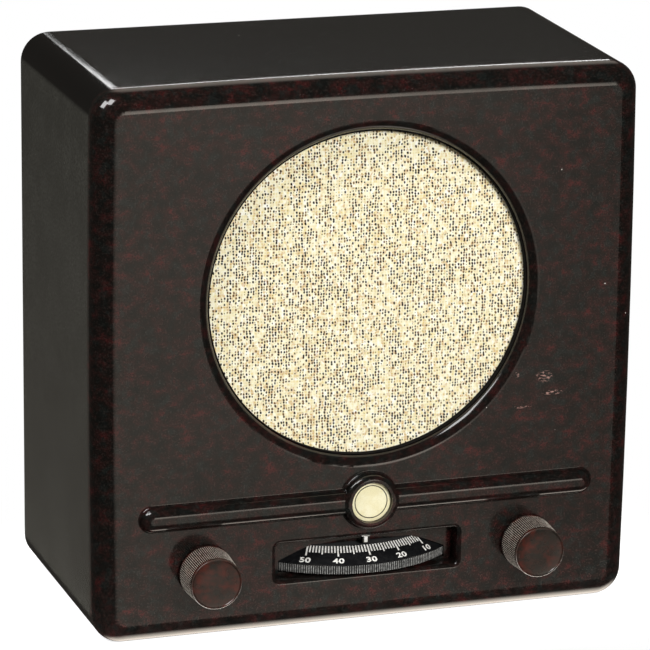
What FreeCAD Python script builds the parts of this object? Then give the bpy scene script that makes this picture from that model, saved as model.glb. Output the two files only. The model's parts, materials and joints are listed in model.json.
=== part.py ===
import FreeCAD, Part
import math
import os
import re
import Sketcher

# A small mains radio receiver in a moulded cabinet. Millimetres, +Z up, +Y to the back.
# The origin is on the underside, under the middle of the cabinet.

doc = FreeCAD.newDocument("tabletop_radio")
sheet = doc.addObject("Spreadsheet::Sheet", "Sizes")

SIZES = {
    # moulded shell
    "cab_width": 240.0,
    "cab_height": 240.0,
    "cab_depth": 120.0,
    "cab_spread": 1.4,
    "cab_bow": 1.05,
    "cab_corner": 12.5,
    "cab_edge": 9.3,
    "cab_rim": 12.0,
    "front_wall": 6.0,
    "side_wall": 4.5,
    "post_side": 16.0,
    "rail_width": 10.0,
    "rail_thick": 6.0,
    # round speaker opening
    "grille_radius": 70.9,
    "grille_gap": 7.25,
    "grille_lip": 4.8,
    # raised band and the boss in its middle
    "band_length": 202.8,
    "band_height": 56.0,
    "band_width": 10.5,
    "band_rise": 4.5,
    "band_round": 3.9,
    "boss_radius": 12.25,
    "boss_rise": 5.2,
    "boss_round": 2.2,
    "base_round": 0.9,
    "emblem_radius": 9.0,
    "emblem_thick": 2.0,
    "emblem_sink": 1.1,
    # dial window
    "window_side_gap": 2.14,
    "window_low": 22.9,
    "window_high": 39.4,
    "window_corner": 2.0,
    "window_round": 1.9,
    "window_depth": 8.5,
    "window_wall": 2.0,
    "pointer_width": 3.8,
    "pointer_depth": 3.0,
    "pointer_drop": 3.8,
    # tuning disc on its upright spindle
    "dial_proud": 4.8,
    "dial_back_gap": 5.8,
    "dial_low": 24.5,
    "dial_rim": 3.9,
    "dial_rise": 6.0,
    "dial_slope": 8.5,
    "dial_skin": 2.2,
    "dial_hub": 8.0,
    "dial_hub_length": 18.0,
    "dial_gap": 0.6,
    "spindle_radius": 3.0,
    "spindle_gap": 0.3,
    "spindle_end": 1.0,
    "fit_gap": 0.05,
    "bearing_radius": 5.0,
    "bearing_floor": 1.5,
    "bearing_length": 8.5,
    "bearing_proud": 0.5,
    "boss_wall": 3.0,
    "set_screw_drop": 12.6,
    "set_screw_inset": 0.5,
    # control knobs and shafts
    "knob_spacing": 145.4,
    "knob_height": 30.6,
    "knob_gap": 1.2,
    "knob_length": 15.8,
    "knob_base": 12.0,
    "knob_cap": 11.15,
    "knob_bevel": 0.7,
    "knob_recess": 9.5,
    "knob_recess_depth": 4.0,
    "knob_skin": 3.0,
    "shaft_radius": 3.0,
    "bush_radius": 4.5,
    "bush_flange": 7.5,
    "bush_flange_thick": 2.0,
    "bush_nose": 3.5,
    "bush_tail": 6.0,
    "nut_flats": 14.0,
    "nut_thick": 2.5,
    "shaft_end": 4.0,
    # cloth, board and loudspeaker
    "cloth_thick": 0.6,
    "cloth_margin": 6.0,
    "baffle_margin": 9.1,
    "baffle_thick": 3.0,
    "baffle_hole": 62.0,
    "baffle_screw_inset": 7.0,
    "baffle_screw_radius": 1.5,
    "baffle_screw_bite": 4.0,
    "board_seat": 5.0,
    "basket_radius": 70.0,
    "basket_hole": 60.0,
    "basket_flange": 2.0,
    "basket_front": 62.0,
    "basket_back": 34.0,
    "basket_length": 36.4,
    "basket_skin": 1.5,
    "basket_plate": 2.0,
    "basket_window": 34.0,
    "basket_rim": 4.0,
    "speaker_screw_ring": 66.0,
    "speaker_screw_radius": 1.4,
    "speaker_screw_head": 3.0,
    "cone_radius": 56.8,
    "cone_apex": 5.0,
    "cone_length": 24.0,
    "cone_paper": 0.7,
    "cone_wall": 1.12,
    "surround_width": 2.5,
    "surround_thick": 0.5,
    "surround_gap": 1.0,
    "rod_radius": 1.0,
    "reed_width": 8.0,
    "reed_thick": 0.8,
    "reed_top": 8.0,
    "reed_bottom": 30.0,
    "reed_gap": 7.0,
    "reed_clear": 0.7,
    "clamp_width": 18.0,
    "clamp_height": 12.0,
    "clamp_foot": 2.0,
    "magnet_outer": 24.0,
    "magnet_inner": 12.0,
    "magnet_thick": 16.0,
    "magnet_leg": 22.0,
    "pole_width": 6.0,
    "pole_height": 16.0,
    "pole_thick": 12.0,
    "coil_height": 10.0,
    # chassis board and what stands on it
    "chassis_height": 52.0,
    "chassis_thick": 2.0,
    "chassis_front_gap": 7.0,
    "chassis_back_gap": 9.0,
    "chassis_margin": 3.5,
    "chassis_screw_side": 6.0,
    "chassis_screw_end": 9.0,
    "chassis_screw_bite": 4.8,
    "screw_radius": 1.6,
    "screw_head": 3.5,
    "screw_head_thick": 1.5,
    "tuner_half": 26.0,
    "tuner_gap": 28.0,
    "tuner_plate": 2.0,
    "tuner_pillar": 2.5,
    "tuner_screw": 22.0,
    "tuner_vane": 20.0,
    "tuner_vane_thick": 0.8,
    "tuner_vane_pitch": 4.0,
    "tuner_hub": 5.0,
    "vane_rise": 6.0,
    "vane_overlap": 0.5,
    "stator_margin": 2.2,
    "stator_gap": 2.0,
    "stator_post_gap": 1.2,
    "stator_post_thick": 2.0,
    "stator_post_start": 2.0,
    "stator_post_width": 6.0,
    "coupler_reach": 14.0,
    "coupler_radius": 8.0,
    "coupler_bore": 4.0,
    "coupler_thick": 5.0,
    "coupler_arm": 2.0,
    "coupler_arm_half": 2.0,
    "coupler_hub_wall": 1.8,
    "coupler_hub_length": 4.0,
    "coupler_setback": 40.0,
    "aerial_coil_radius": 9.0,
    "aerial_coil_length": 10.0,
    "coil_spacing": 2.0,
    "reaction_half": 14.0,
    "reaction_gap": 24.0,
    "reaction_plate": 1.5,
    "reaction_pillar": 1.8,
    "reaction_vane": 11.5,
    "reaction_hub": 4.5,
    "reaction_hub_length": 14.0,
    "reaction_hub_gap": 0.5,
    "reaction_vane_gap": 2.0,
    "reaction_pillar_inset": 0.2,
    "reaction_stator_margin": 1.2,
    "reaction_stator_gap": 1.5,
    "reaction_post_half": 2.0,
    "reaction_post_gap": 0.6,
    "reaction_post_thick": 1.4,
    "switch_side": 18.0,
    "switch_depth": 12.5,
    "coil_former": 12.0,
    "coil_former_bore": 10.5,
    "coil_former_length": 56.0,
    "winding_thick": 1.2,
    "winding_length": 36.0,
    "tuning_coil_x": -52.0,
    "output_x": 62.0,
    "output_y": 20.0,
    "output_radius": 16.0,
    "output_length": 78.0,
    "rectifier_x": -58.0,
    "rectifier_y": 24.0,
    "rectifier_radius": 12.5,
    "rectifier_length": 56.0,
    "socket_thick": 6.0,
    "socket_step": 2.0,
    "valve_base": 14.0,
    "envelope_step": 1.0,
    "shoulder_share": 0.7,
    "neck_share": 0.45,
    "glass_thick": 1.2,
    "electrode_share": 0.55,
    "filter_radius": 11.0,
    "filter_length": 60.0,
    "filter_inset": 18.7,
    "filter_pitch": 30.8,
    "paper_radius": 5.0,
    "paper_length": 26.0,
    "paper_gap": 8.0,
    "paper_inset": 7.0,
    "paper_pitch": 12.0,
    "resistor_radius": 2.5,
    "resistor_length": 14.0,
    "resistor_gap": 3.0,
    "resistor_row_gap": 5.0,
    "dropper_radius": 8.0,
    "dropper_bore": 4.0,
    "dropper_inset": 16.0,
    "dropper_length": 86.0,
    "fuse_radius": 2.6,
    "fuse_length": 22.0,
    "fuse_base": 8.0,
    "fuse_block": 30.0,
    "fuse_inset": 4.0,
    # aerial and earth sockets, back cover
    "strip_width": 44.0,
    "strip_height": 22.0,
    "strip_thick": 2.5,
    "aerial_pitch": 12.0,
    "aerial_height": 15.0,
    "aerial_bore": 2.0,
    "aerial_radius": 3.5,
    "aerial_depth": 14.5,
    "aerial_end": 3.0,
    "cover_thick": 2.5,
    "cover_recess": 1.5,
    "cover_gap": 0.5,
    "cover_corner": 7.0,
    "cover_screw_inset": 8.0,
    "cover_screw_bite": 12.0,
    "vent_length": 34.0,
    "vent_width": 4.0,
    "vent_pitch": 9.0,
    "vent_rows": 13.0,
    "vent_column": 50.0,
    "vent_low": 100.0,
    "inlet_x": -70.0,
    "inlet_z": 24.0,
    "inlet_bore": 3.2,
    "inlet_radius": 6.0,
    "inlet_flange": 8.5,
    "inlet_lip": 1.5,
}

# Sizes that follow from the others, so that what fits together stays together.
DERIVED = {
    "dial_radius": "(cab_depth - cover_recess - cover_thick - dial_back_gap + dial_proud) / 2",
    "dial_setback": "dial_radius - dial_proud",
    "dial_flat": "dial_radius - dial_slope",
    "dial_chord": "dial_setback - window_depth - window_wall",
    "dial_half_chord": "sqrt((dial_radius - dial_chord) * (dial_radius + dial_chord))",
    "window_width": "2 * (dial_half_chord + window_side_gap)",
    "grille_height": "band_height + boss_radius + grille_gap + grille_radius",
    "baffle_side": "2 * (grille_radius + baffle_margin)",
    "baffle_screw": "baffle_side / 2 - baffle_screw_inset",
    "chassis_front": "front_wall + chassis_front_gap - cab_depth / 2",
    "chassis_back": "cab_depth / 2 - cover_recess - cover_thick - chassis_back_gap",
    "spindle_foot": "side_wall + bearing_floor + spindle_gap",
    "spindle_top": "chassis_height + chassis_thick + 2 * tuner_plate + tuner_gap + spindle_end",
}

for row, (alias, value) in enumerate(SIZES.items(), start=1):
    sheet.set("A%d" % row, alias)
    sheet.set("B%d" % row, str(value))
    sheet.setAlias("B%d" % row, alias)
doc.recompute()

ALIAS = re.compile(r"\b(" + "|".join(SIZES) + r")\b")
FOLLOWER = re.compile(r"\b(" + "|".join(DERIVED) + r")\b")

# Places that several pieces share, as formulas of the sheet's values.
FRONT = "(-cab_depth / 2)"
BACK = "(cab_depth / 2)"
WALL_BACK = f"({FRONT} + front_wall)"
DIAL_Y = f"({FRONT} + dial_setback)"
CHASSIS_TOP = "(chassis_height + chassis_thick)"
CLOTH_BACK = f"({WALL_BACK} + cloth_thick)"
BAFFLE_BACK = f"({CLOTH_BACK} + baffle_thick)"
BASKET_Y = f"({BAFFLE_BACK} + basket_flange)"
PLATE_Y = f"({BASKET_Y} + basket_length)"
MAGNET_Y = f"({PLATE_Y} + basket_plate)"
REED_Y = f"({MAGNET_Y} + reed_gap)"
COVER_FRONT = f"({BACK} - cover_recess - cover_thick)"
COVER_BACK = f"({BACK} - cover_recess)"
INSIDE_X = "(cab_width / 2 + cab_spread - side_wall)"
INSIDE_TOP = "(cab_height + cab_spread - side_wall)"
KNOB_X = "(knob_spacing / 2)"
BUSH_BACK = f"({WALL_BACK} + bush_flange_thick)"
BUSH_TAIL = f"({BUSH_BACK} + bush_tail)"
KNOB_BACK = f"({FRONT} - knob_gap)"
SHAFT_TIP = f"({KNOB_BACK} - knob_length + knob_skin)"

TO_BACK = FreeCAD.Rotation(FreeCAD.Vector(1, 0, 0), -90)
TO_FRONT = FreeCAD.Rotation(FreeCAD.Vector(1, 0, 0), 90)
TO_RIGHT = FreeCAD.Rotation(FreeCAD.Vector(0, 1, 0), 90)
UPRIGHT = FreeCAD.Rotation()


def spell_out(formula):
    """Replaces each derived size in a formula by its own formula."""
    text = str(formula)
    while FOLLOWER.search(text):
        text = FOLLOWER.sub(lambda found: f"({DERIVED[found.group(0)]})", text)
    return text


def size(formula):
    """The number that a formula of the sheet's values gives now."""
    return float(sheet.evalExpression(spell_out(formula)))


def bind(obj, prop, formula):
    """Ties a property to a formula of the sheet's values."""
    obj.setExpression(prop, ALIAS.sub(r"Sizes.\1", spell_out(formula)))


def place(obj, at, turn=UPRIGHT):
    obj.Placement = FreeCAD.Placement(FreeCAD.Vector(), turn)
    for letter, formula in zip("xyz", at):
        bind(obj, "Placement.Base." + letter, formula)
    return obj


# --- Part workbench pieces ------------------------------------------------------------

def box(name, low, high):
    """A box from its lowest corner to its highest, both as formulas."""
    obj = doc.addObject("Part::Box", name)
    for prop, start, end in zip(("Length", "Width", "Height"), low, high):
        bind(obj, prop, f"({end}) - ({start})")
    return place(obj, low)


def rod(name, radius, length, at, turn=UPRIGHT):
    obj = doc.addObject("Part::Cylinder", name)
    bind(obj, "Radius", radius)
    bind(obj, "Height", length)
    return place(obj, at, turn)


def funnel(name, start, end, length, at, turn=UPRIGHT):
    obj = doc.addObject("Part::Cone", name)
    bind(obj, "Radius1", start)
    bind(obj, "Radius2", end)
    bind(obj, "Height", length)
    return place(obj, at, turn)


def join(name, pieces):
    obj = doc.addObject("Part::MultiFuse", name)
    obj.Shapes = pieces
    return obj


def cut(name, base, tools):
    """One piece less one or more tools."""
    obj = doc.addObject("Part::Cut", name)
    obj.Base = base
    obj.Tool = tools[0] if len(tools) == 1 else join(name + "_tools", tools)
    return obj


def group(name, pieces):
    """Separate solids that share one node."""
    obj = doc.addObject("Part::Compound", name)
    obj.Links = pieces
    return obj


def tube(name, radius, bore, length, at, turn=UPRIGHT):
    wall = rod(name + "_wall", radius, length, at, turn)
    hole = rod(name + "_bore", bore, length, at, turn)
    return cut(name, wall, [hole])


def screw(name, at, head, head_thick, shank, shank_length, turn):
    """A cheese-head screw: the head rises from the point, the shank goes the other way."""
    cap = rod(name + "_head", head, head_thick, at, turn)
    back = turn.multVec(FreeCAD.Vector(0, 0, 1))
    start = [f"({formula}) - ({shank_length}) * ({round(part)})" for formula, part in zip(at, back)]
    stem = rod(name + "_shank", shank, shank_length, start, turn)
    return join(name, [cap, stem])


# --- PartDesign pieces ----------------------------------------------------------------

def new_body(name, at=(0, 0, 0), turn=UPRIGHT):
    return place(doc.addObject("PartDesign::Body", name), at, turn)


def sketch_on(body, name, role, offset="0"):
    """A sketch on one of the body's own origin planes, moved along the plane's normal."""
    flat = [item for item in body.Origin.OriginFeatures if item.Role == role][0]
    sketch = body.newObject("Sketcher::SketchObject", name)
    sketch.AttachmentSupport = [(flat, "")]
    sketch.MapMode = "FlatFace"
    bind(sketch, "AttachmentOffset.Base.z", offset)
    return sketch


def spot(x, y):
    """A point of a sketch's plane, from two formulas."""
    return FreeCAD.Vector(size(x), size(y), 0)


def pin_point(sketch, geometry, end, x, y):
    """Holds one end of a curve at two formulas."""
    for kind, formula, axis in (("DistanceX", x, -2), ("DistanceY", y, -1)):
        if str(formula) == "0":
            sketch.addConstraint(Sketcher.Constraint("PointOnObject", geometry, end, axis))
        else:
            value = size(formula)
            index = sketch.addConstraint(Sketcher.Constraint(kind, -1, 1, geometry, end, value))
            bind(sketch, "Constraints[%d]" % index, formula)


def bind_radius(sketch, geometry, formula):
    index = sketch.addConstraint(Sketcher.Constraint("Radius", geometry, size(formula)))
    bind(sketch, "Constraints[%d]" % index, formula)


def circle(sketch, x, y, radius):
    index = sketch.addGeometry(Part.Circle(spot(x, y), FreeCAD.Vector(0, 0, 1), size(radius)))
    bind_radius(sketch, index, radius)
    pin_point(sketch, index, 3, x, y)


def polygon(sketch, points):
    """A closed outline whose corners are pairs of formulas."""
    places = [spot(x, y) for x, y in points]
    lines = []
    for start, end in zip(places, places[1:] + places[:1]):
        lines.append(sketch.addGeometry(Part.LineSegment(start, end)))
    for line, after in zip(lines, lines[1:] + lines[:1]):
        sketch.addConstraint(Sketcher.Constraint("Coincident", line, 2, after, 1))
    for line, (x, y) in zip(lines, points):
        pin_point(sketch, line, 1, x, y)


def arc_about(centre, start, end):
    """A counter-clockwise arc from one point to another about a centre."""
    ray = start - centre
    out = end - centre
    first = math.atan2(ray.y, ray.x)
    last = math.atan2(out.y, out.x)
    full = Part.Circle(centre, FreeCAD.Vector(0, 0, 1), ray.Length)
    return Part.ArcOfCircle(full, first, last if last > first else last + 2 * math.pi)


def rounded_box(sketch, left, right, low, high, corner):
    """A rectangle with four rounded corners, drawn counter-clockwise from the lower left."""
    left_in = f"({left}) + {corner}"
    right_in = f"({right}) - {corner}"
    low_in = f"({low}) + {corner}"
    high_in = f"({high}) - {corner}"
    inner = [(left_in, low_in), (right_in, low_in), (right_in, high_in), (left_in, high_in)]
    starts = [(inner[0][0], low), (right, inner[1][1]), (inner[2][0], high), (left, inner[3][1])]
    ends = [(inner[1][0], low), (right, inner[2][1]), (inner[3][0], high), (left, inner[0][1])]
    sides = [sketch.addGeometry(Part.LineSegment(spot(*a), spot(*b))) for a, b in zip(starts, ends)]
    for side, a, b in zip(sides, starts, ends):
        pin_point(sketch, side, 1, *a)
        pin_point(sketch, side, 2, *b)
    for number, side in enumerate(sides):
        following = (number + 1) % 4
        bend = arc_about(spot(*inner[following]), spot(*ends[number]), spot(*starts[following]))
        arc = sketch.addGeometry(bend)
        sketch.addConstraint(Sketcher.Constraint("Coincident", side, 2, arc, 1))
        sketch.addConstraint(Sketcher.Constraint("Coincident", arc, 2, sides[following], 1))
        bind_radius(sketch, arc, corner)


def long_hole(sketch, left, right, middle, radius):
    """A level strip with round ends, from end to end."""
    near = f"({left}) + {radius}"
    far = f"({right}) - {radius}"
    low = f"({middle}) - {radius}"
    high = f"({middle}) + {radius}"
    below = sketch.addGeometry(Part.LineSegment(spot(near, low), spot(far, low)))
    above = sketch.addGeometry(Part.LineSegment(spot(far, high), spot(near, high)))
    ends = [(below, far, above, low, high), (above, near, below, high, low)]
    for line, x, other, start, end in ends:
        pin_point(sketch, line, 2, x, start)
        pin_point(sketch, other, 1, x, end)
        arc = sketch.addGeometry(arc_about(spot(x, middle), spot(x, start), spot(x, end)))
        sketch.addConstraint(Sketcher.Constraint("Tangent", line, 2, arc, 1))
        sketch.addConstraint(Sketcher.Constraint("Coincident", arc, 2, other, 1))


def grow(body, kind, sketch, length, backwards=False):
    """Pads or pockets a sketch, and checks that the volume changed the right way."""
    before = body.Shape.Volume if body.Tip else 0.0
    feature = body.newObject(kind, sketch.Name + "_" + kind.split("::")[1])
    feature.Profile = sketch
    feature.Reversed = backwards
    bind(feature, "Length", length)
    doc.recompute()
    gained = body.Shape.Volume - before
    if (gained > 0) != (kind == "PartDesign::Pad"):
        raise ValueError(f"{feature.Name} of {body.Label} changed the volume by {gained}")
    return feature


def pad(body, sketch, length, backwards=False):
    return grow(body, "PartDesign::Pad", sketch, length, backwards)


def pocket(body, sketch, length, backwards=False):
    return grow(body, "PartDesign::Pocket", sketch, length, backwards)


def revolve(body, kind, sketch, axis="V_Axis"):
    before = body.Shape.Volume if body.Tip else 0.0
    feature = body.newObject(kind, sketch.Name + "_turn")
    feature.Profile = sketch
    feature.ReferenceAxis = (sketch, [axis])
    feature.Angle = 360
    doc.recompute()
    gained = body.Shape.Volume - before
    if (gained > 0) != (kind == "PartDesign::Revolution"):
        raise ValueError(f"{feature.Name} of {body.Label} changed the volume by {gained}")
    return feature


def turned(name, points, at, turn=UPRIGHT):
    """A lathe-turned piece: an outline of (radius, height) corners about its own Z axis."""
    body = new_body(name, at, turn)
    sketch = sketch_on(body, name + "_section", "XZ_Plane")
    polygon(sketch, points)
    revolve(body, "PartDesign::Revolution", sketch)
    return body


def fillet(body, name, chosen, radius):
    """Rounds the tip's edges that pass a test."""
    doc.recompute()
    base = body.Tip
    names = ["Edge%d" % (i + 1) for i, edge in enumerate(base.Shape.Edges) if chosen(edge)]
    feature = body.newObject("PartDesign::Fillet", name)
    feature.Base = (base, names)
    bind(feature, "Radius", radius)
    doc.recompute()
    return feature


def lies_at(edge, y, spread=1e-3):
    """True for an edge that lies in the plane at this y."""
    return abs(edge.BoundBox.YMin - y) < spread and abs(edge.BoundBox.YMax - y) < spread


# --- cabinet --------------------------------------------------------------------------

def bowed_outline(sketch):
    """The shell's front outline: a flat foot, and sides and a top that bow slightly outwards."""
    corner = size("cab_corner")
    half = size("cab_width") / 2
    top = size("cab_height")
    bow = size("cab_bow")
    side_formula = "(cab_height * cab_height / 4 + cab_bow * cab_bow) / (2 * cab_bow)"
    top_formula = "(cab_width * cab_width / 4 + cab_bow * cab_bow) / (2 * cab_bow)"
    side_radius = size(side_formula)
    top_radius = size(top_formula)
    side_centre = FreeCAD.Vector(half + bow - side_radius, top / 2, 0)
    top_centre = FreeCAD.Vector(0, top + bow - top_radius, 0)

    low_y = corner
    low_x = side_centre.x + math.sqrt((side_radius - corner) ** 2 - (side_centre.y - low_y) ** 2)
    low_centre = FreeCAD.Vector(low_x, low_y, 0)
    high_centre = meeting(side_centre, side_radius - corner, top_centre, top_radius - corner)
    low_touch = side_centre + (low_centre - side_centre).normalize() * side_radius
    high_touch = side_centre + (high_centre - side_centre).normalize() * side_radius
    top_touch = top_centre + (high_centre - top_centre).normalize() * top_radius
    foot = FreeCAD.Vector(low_x, 0, 0)

    curves = [Part.LineSegment(flip(foot), foot), arc_about(low_centre, foot, low_touch),
              arc_about(side_centre, low_touch, high_touch), arc_about(high_centre, high_touch, top_touch),
              arc_about(top_centre, top_touch, flip(top_touch)),
              arc_about(flip(high_centre), flip(top_touch), flip(high_touch)),
              arc_about(flip(side_centre), flip(high_touch), flip(low_touch)),
              arc_about(flip(low_centre), flip(low_touch), flip(foot))]
    index = [sketch.addGeometry(curve) for curve in curves]
    for this, after in zip(index, index[1:] + index[:1]):
        sketch.addConstraint(Sketcher.Constraint("Tangent", this, 2, after, 1))
    for number in (1, 3, 5, 7):
        bind_radius(sketch, index[number], "cab_corner")
    for number in (2, 6):
        bind_radius(sketch, index[number], side_formula)
    bind_radius(sketch, index[4], top_formula)
    inset = f"cab_width / 2 + cab_bow - {side_formula}"
    pin_point(sketch, index[2], 3, inset, "cab_height / 2")
    pin_point(sketch, index[6], 3, f"-({inset})", "cab_height / 2")
    pin_point(sketch, index[4], 3, "0", f"cab_height + cab_bow - {top_formula}")
    sketch.addConstraint(Sketcher.Constraint("Horizontal", index[0]))
    sketch.addConstraint(Sketcher.Constraint("PointOnObject", index[0], 1, -1))


def flip(point):
    """The same point on the other side of the middle line."""
    return FreeCAD.Vector(-point.x, point.y, 0)


def meeting(first, first_radius, second, second_radius):
    """The point at two given distances from two centres, on the outer side."""
    gap = second - first
    along = (gap.Length ** 2 + first_radius ** 2 - second_radius ** 2) / (2 * gap.Length)
    away = math.sqrt(first_radius ** 2 - along ** 2)
    unit = gap.normalize()
    options = [first + unit * along + FreeCAD.Vector(-unit.y, unit.x, 0) * side * away for side in (-1, 1)]
    return max(options, key=lambda point: point.x + point.y)


def loft(body, kind, name, first, last):
    feature = body.newObject(kind, name)
    feature.Profile = first
    feature.Sections = [last]
    feature.Ruled = True
    doc.recompute()
    return feature


def make_cabinet():
    body = new_body("cabinet")
    face = sketch_on(body, "front_outline", "XZ_Plane", "cab_depth / 2")
    bowed_outline(face)
    rear = sketch_on(body, "rear_outline", "XZ_Plane", "-cab_depth / 2")
    wide = "(cab_width / 2 + cab_spread)"
    rounded_box(rear, f"-{wide}", wide, "0", "cab_height + cab_spread", "cab_corner")
    front_y = -size("cab_depth") / 2
    pad(body, face, "cab_rim", True)
    fillet(body, "front_edge", lambda edge: lies_at(edge, front_y), "cab_edge")
    shoulder = sketch_on(body, "shoulder_outline", "XZ_Plane", "cab_depth / 2 - cab_rim")
    bowed_outline(shoulder)
    loft(body, "PartDesign::AdditiveLoft", "shell", shoulder, rear)

    # The lofted foot is a ruled surface, so its middle is cut away and laid again as one plane.
    foot_half = "(cab_width / 2 - cab_corner)"
    foot_front = f"{FRONT} + (cab_edge + cab_rim) / 2"
    for step in (pocket, pad):
        foot = sketch_on(body, "foot_" + step.__name__, "XY_Plane")
        polygon(foot, [(f"-{foot_half}", foot_front), (foot_half, foot_front), (foot_half, BACK),
                       (f"-{foot_half}", BACK)])
        step(body, foot, "side_wall / 2", step is pocket)

    inner = "(cab_corner - side_wall)"
    near = sketch_on(body, "cavity_front", "XZ_Plane", "cab_depth / 2 - front_wall")
    rounded_box(near, "-(cab_width / 2 - side_wall)", "cab_width / 2 - side_wall", "side_wall",
                "cab_height - side_wall", inner)
    far = sketch_on(body, "cavity_back", "XZ_Plane", "-cab_depth / 2")
    rounded_box(far, f"-{INSIDE_X}", INSIDE_X, "side_wall", INSIDE_TOP, inner)
    loft(body, "PartDesign::SubtractiveLoft", "cavity", near, far)

    posts = sketch_on(body, "posts", "XZ_Plane", f"-({COVER_FRONT})")
    for side in ("-", ""):
        near = f"{side}({INSIDE_X} - post_side)"
        wall = f"{side}(cab_width / 2 - side_wall / 2)"
        bevel = f"{side}(cab_width / 2 - side_wall / 2 - cab_corner / 2)"
        low = ("side_wall + post_side", "side_wall / 2", "side_wall / 2 + cab_corner / 2")
        high = (f"{INSIDE_TOP} - post_side", "cab_height - side_wall / 2",
                "cab_height - side_wall / 2 - cab_corner / 2")
        for inner_z, outer_z, bevel_z in (low, high):
            polygon(posts, [(near, inner_z), (wall, inner_z), (wall, bevel_z), (bevel, outer_z),
                            (near, outer_z)])
    pad(body, posts, f"{COVER_FRONT} - {WALL_BACK}")

    rails = sketch_on(body, "rails", "XZ_Plane", "-(chassis_back)")
    for side in ("-", ""):
        inner_edge = f"{side}({INSIDE_X} - rail_width)"
        edges = sorted((inner_edge, f"{side}(cab_width / 2 - side_wall / 2)"), key=size)
        polygon(rails, [(edges[0], "chassis_height - rail_thick"), (edges[1], "chassis_height - rail_thick"),
                        (edges[1], "chassis_height"), (edges[0], "chassis_height")])
    pad(body, rails, "chassis_back - chassis_front")

    window_half = "(window_width / 2)"
    housing = sketch_on(body, "window_housing", "XZ_Plane", f"-({WALL_BACK}) + front_wall / 2")
    rounded_box(housing, f"-({window_half} + window_wall)", f"{window_half} + window_wall",
                "window_low - window_wall", "window_high + window_wall", "window_corner")
    pad(body, housing, "front_wall / 2 + window_depth + window_wall - front_wall", True)

    seats = sketch_on(body, "board_seats", "XZ_Plane", f"-({CLOTH_BACK})")
    for x, z in baffle_screw_places():
        circle(seats, x, z, "board_seat")
    pad(body, seats, "cloth_thick + front_wall / 2")

    floor_boss = sketch_on(body, "spindle_boss", "XY_Plane", "side_wall / 2")
    circle(floor_boss, "0", DIAL_Y, "bearing_radius + boss_wall")
    pad(body, floor_boss, "side_wall / 2 + bearing_floor + bearing_length - bearing_proud")

    opening = sketch_on(body, "speaker_opening", "XZ_Plane", "cab_depth / 2")
    circle(opening, "0", "grille_height", "grille_radius")
    pocket(body, opening, "front_wall")
    rim = size("grille_radius")
    fillet(body, "speaker_lip", lambda edge: lies_at(edge, front_y) and has_radius(edge, rim), "grille_lip")

    recess = sketch_on(body, "window_recess", "XZ_Plane", "cab_depth / 2")
    rounded_box(recess, f"-{window_half}", window_half, "window_low", "window_high", "window_corner")
    pocket(body, recess, "window_depth")
    window_top = size("window_high + window_corner")
    window_foot = size("window_low - window_corner")
    fillet(body, "window_lip", lambda edge: lies_at(edge, front_y) and edge.BoundBox.ZMax < window_top
           and edge.BoundBox.ZMin > window_foot, "window_round")

    slot = sketch_on(body, "dial_slot", "XZ_Plane", f"-({DIAL_Y})")
    slot_low = "dial_low - dial_gap"
    slot_high = "dial_low + dial_rim + dial_rise + dial_gap"
    polygon(slot, [("dial_flat / 2", slot_low), ("dial_radius + dial_gap", slot_low),
                   ("dial_radius + dial_gap", "dial_low + dial_rim + dial_gap"),
                   ("dial_flat + dial_gap", slot_high), ("dial_flat / 2", slot_high)])
    revolve(body, "PartDesign::Groove", slot)

    holes = sketch_on(body, "bush_holes", "XZ_Plane", "cab_depth / 2")
    for x in (f"-{KNOB_X}", KNOB_X):
        circle(holes, x, "knob_height", "bush_radius + fit_gap")
    pocket(body, holes, "front_wall")

    bearing = sketch_on(body, "bearing_seat", "XY_Plane", "side_wall + bearing_floor + bearing_length")
    circle(bearing, "0", DIAL_Y, "bearing_radius")
    pocket(body, bearing, "bearing_length")

    cover_bores = sketch_on(body, "cover_screw_bores", "XZ_Plane", f"-({COVER_FRONT})")
    for x, z in cover_screw_places():
        circle(cover_bores, x, z, "screw_radius")
    pocket(body, cover_bores, "cover_screw_bite", True)

    baffle_bores = sketch_on(body, "board_screw_bores", "XZ_Plane", f"-({CLOTH_BACK})")
    for x, z in baffle_screw_places():
        circle(baffle_bores, x, z, "baffle_screw_radius")
    pocket(body, baffle_bores, "baffle_screw_bite", True)

    rail_bores = sketch_on(body, "rail_screw_bores", "XY_Plane", "chassis_height")
    for x, y in chassis_screw_places():
        circle(rail_bores, x, y, "screw_radius")
    pocket(body, rail_bores, "chassis_screw_bite")

    band = sketch_on(body, "band", "XZ_Plane", "cab_depth / 2 - front_wall / 2")
    half = "(band_length / 2)"
    long_hole(band, f"-{half}", half, "band_height", "band_width / 2")
    pad(body, band, "band_rise + front_wall / 2")
    band_y = front_y - size("band_rise")
    fillet(body, "band_rounding", lambda edge: lies_at(edge, band_y), "band_round")

    boss = sketch_on(body, "boss", "XZ_Plane", "cab_depth / 2 - front_wall / 2")
    circle(boss, "0", "band_height", "boss_radius")
    pad(body, boss, "boss_rise + front_wall / 2")
    boss_y = front_y - size("boss_rise")
    fillet(body, "boss_rounding", lambda edge: lies_at(edge, boss_y), "boss_round")
    band_foot = size("band_height - boss_radius - base_round")
    band_top = size("band_height + boss_radius + base_round")
    fillet(body, "base_rounding", lambda edge: lies_at(edge, front_y) and edge.BoundBox.ZMin > band_foot
           and edge.BoundBox.ZMax < band_top, "base_round")
    seat = sketch_on(body, "emblem_seat", "XZ_Plane", "cab_depth / 2 + boss_rise")
    circle(seat, "0", "band_height", "emblem_radius + fit_gap")
    pocket(body, seat, "boss_rise - emblem_sink")
    return body


def has_radius(edge, radius):
    """True for a round edge of this radius."""
    return hasattr(edge.Curve, "Radius") and abs(edge.Curve.Radius - radius) < 1e-3


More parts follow.
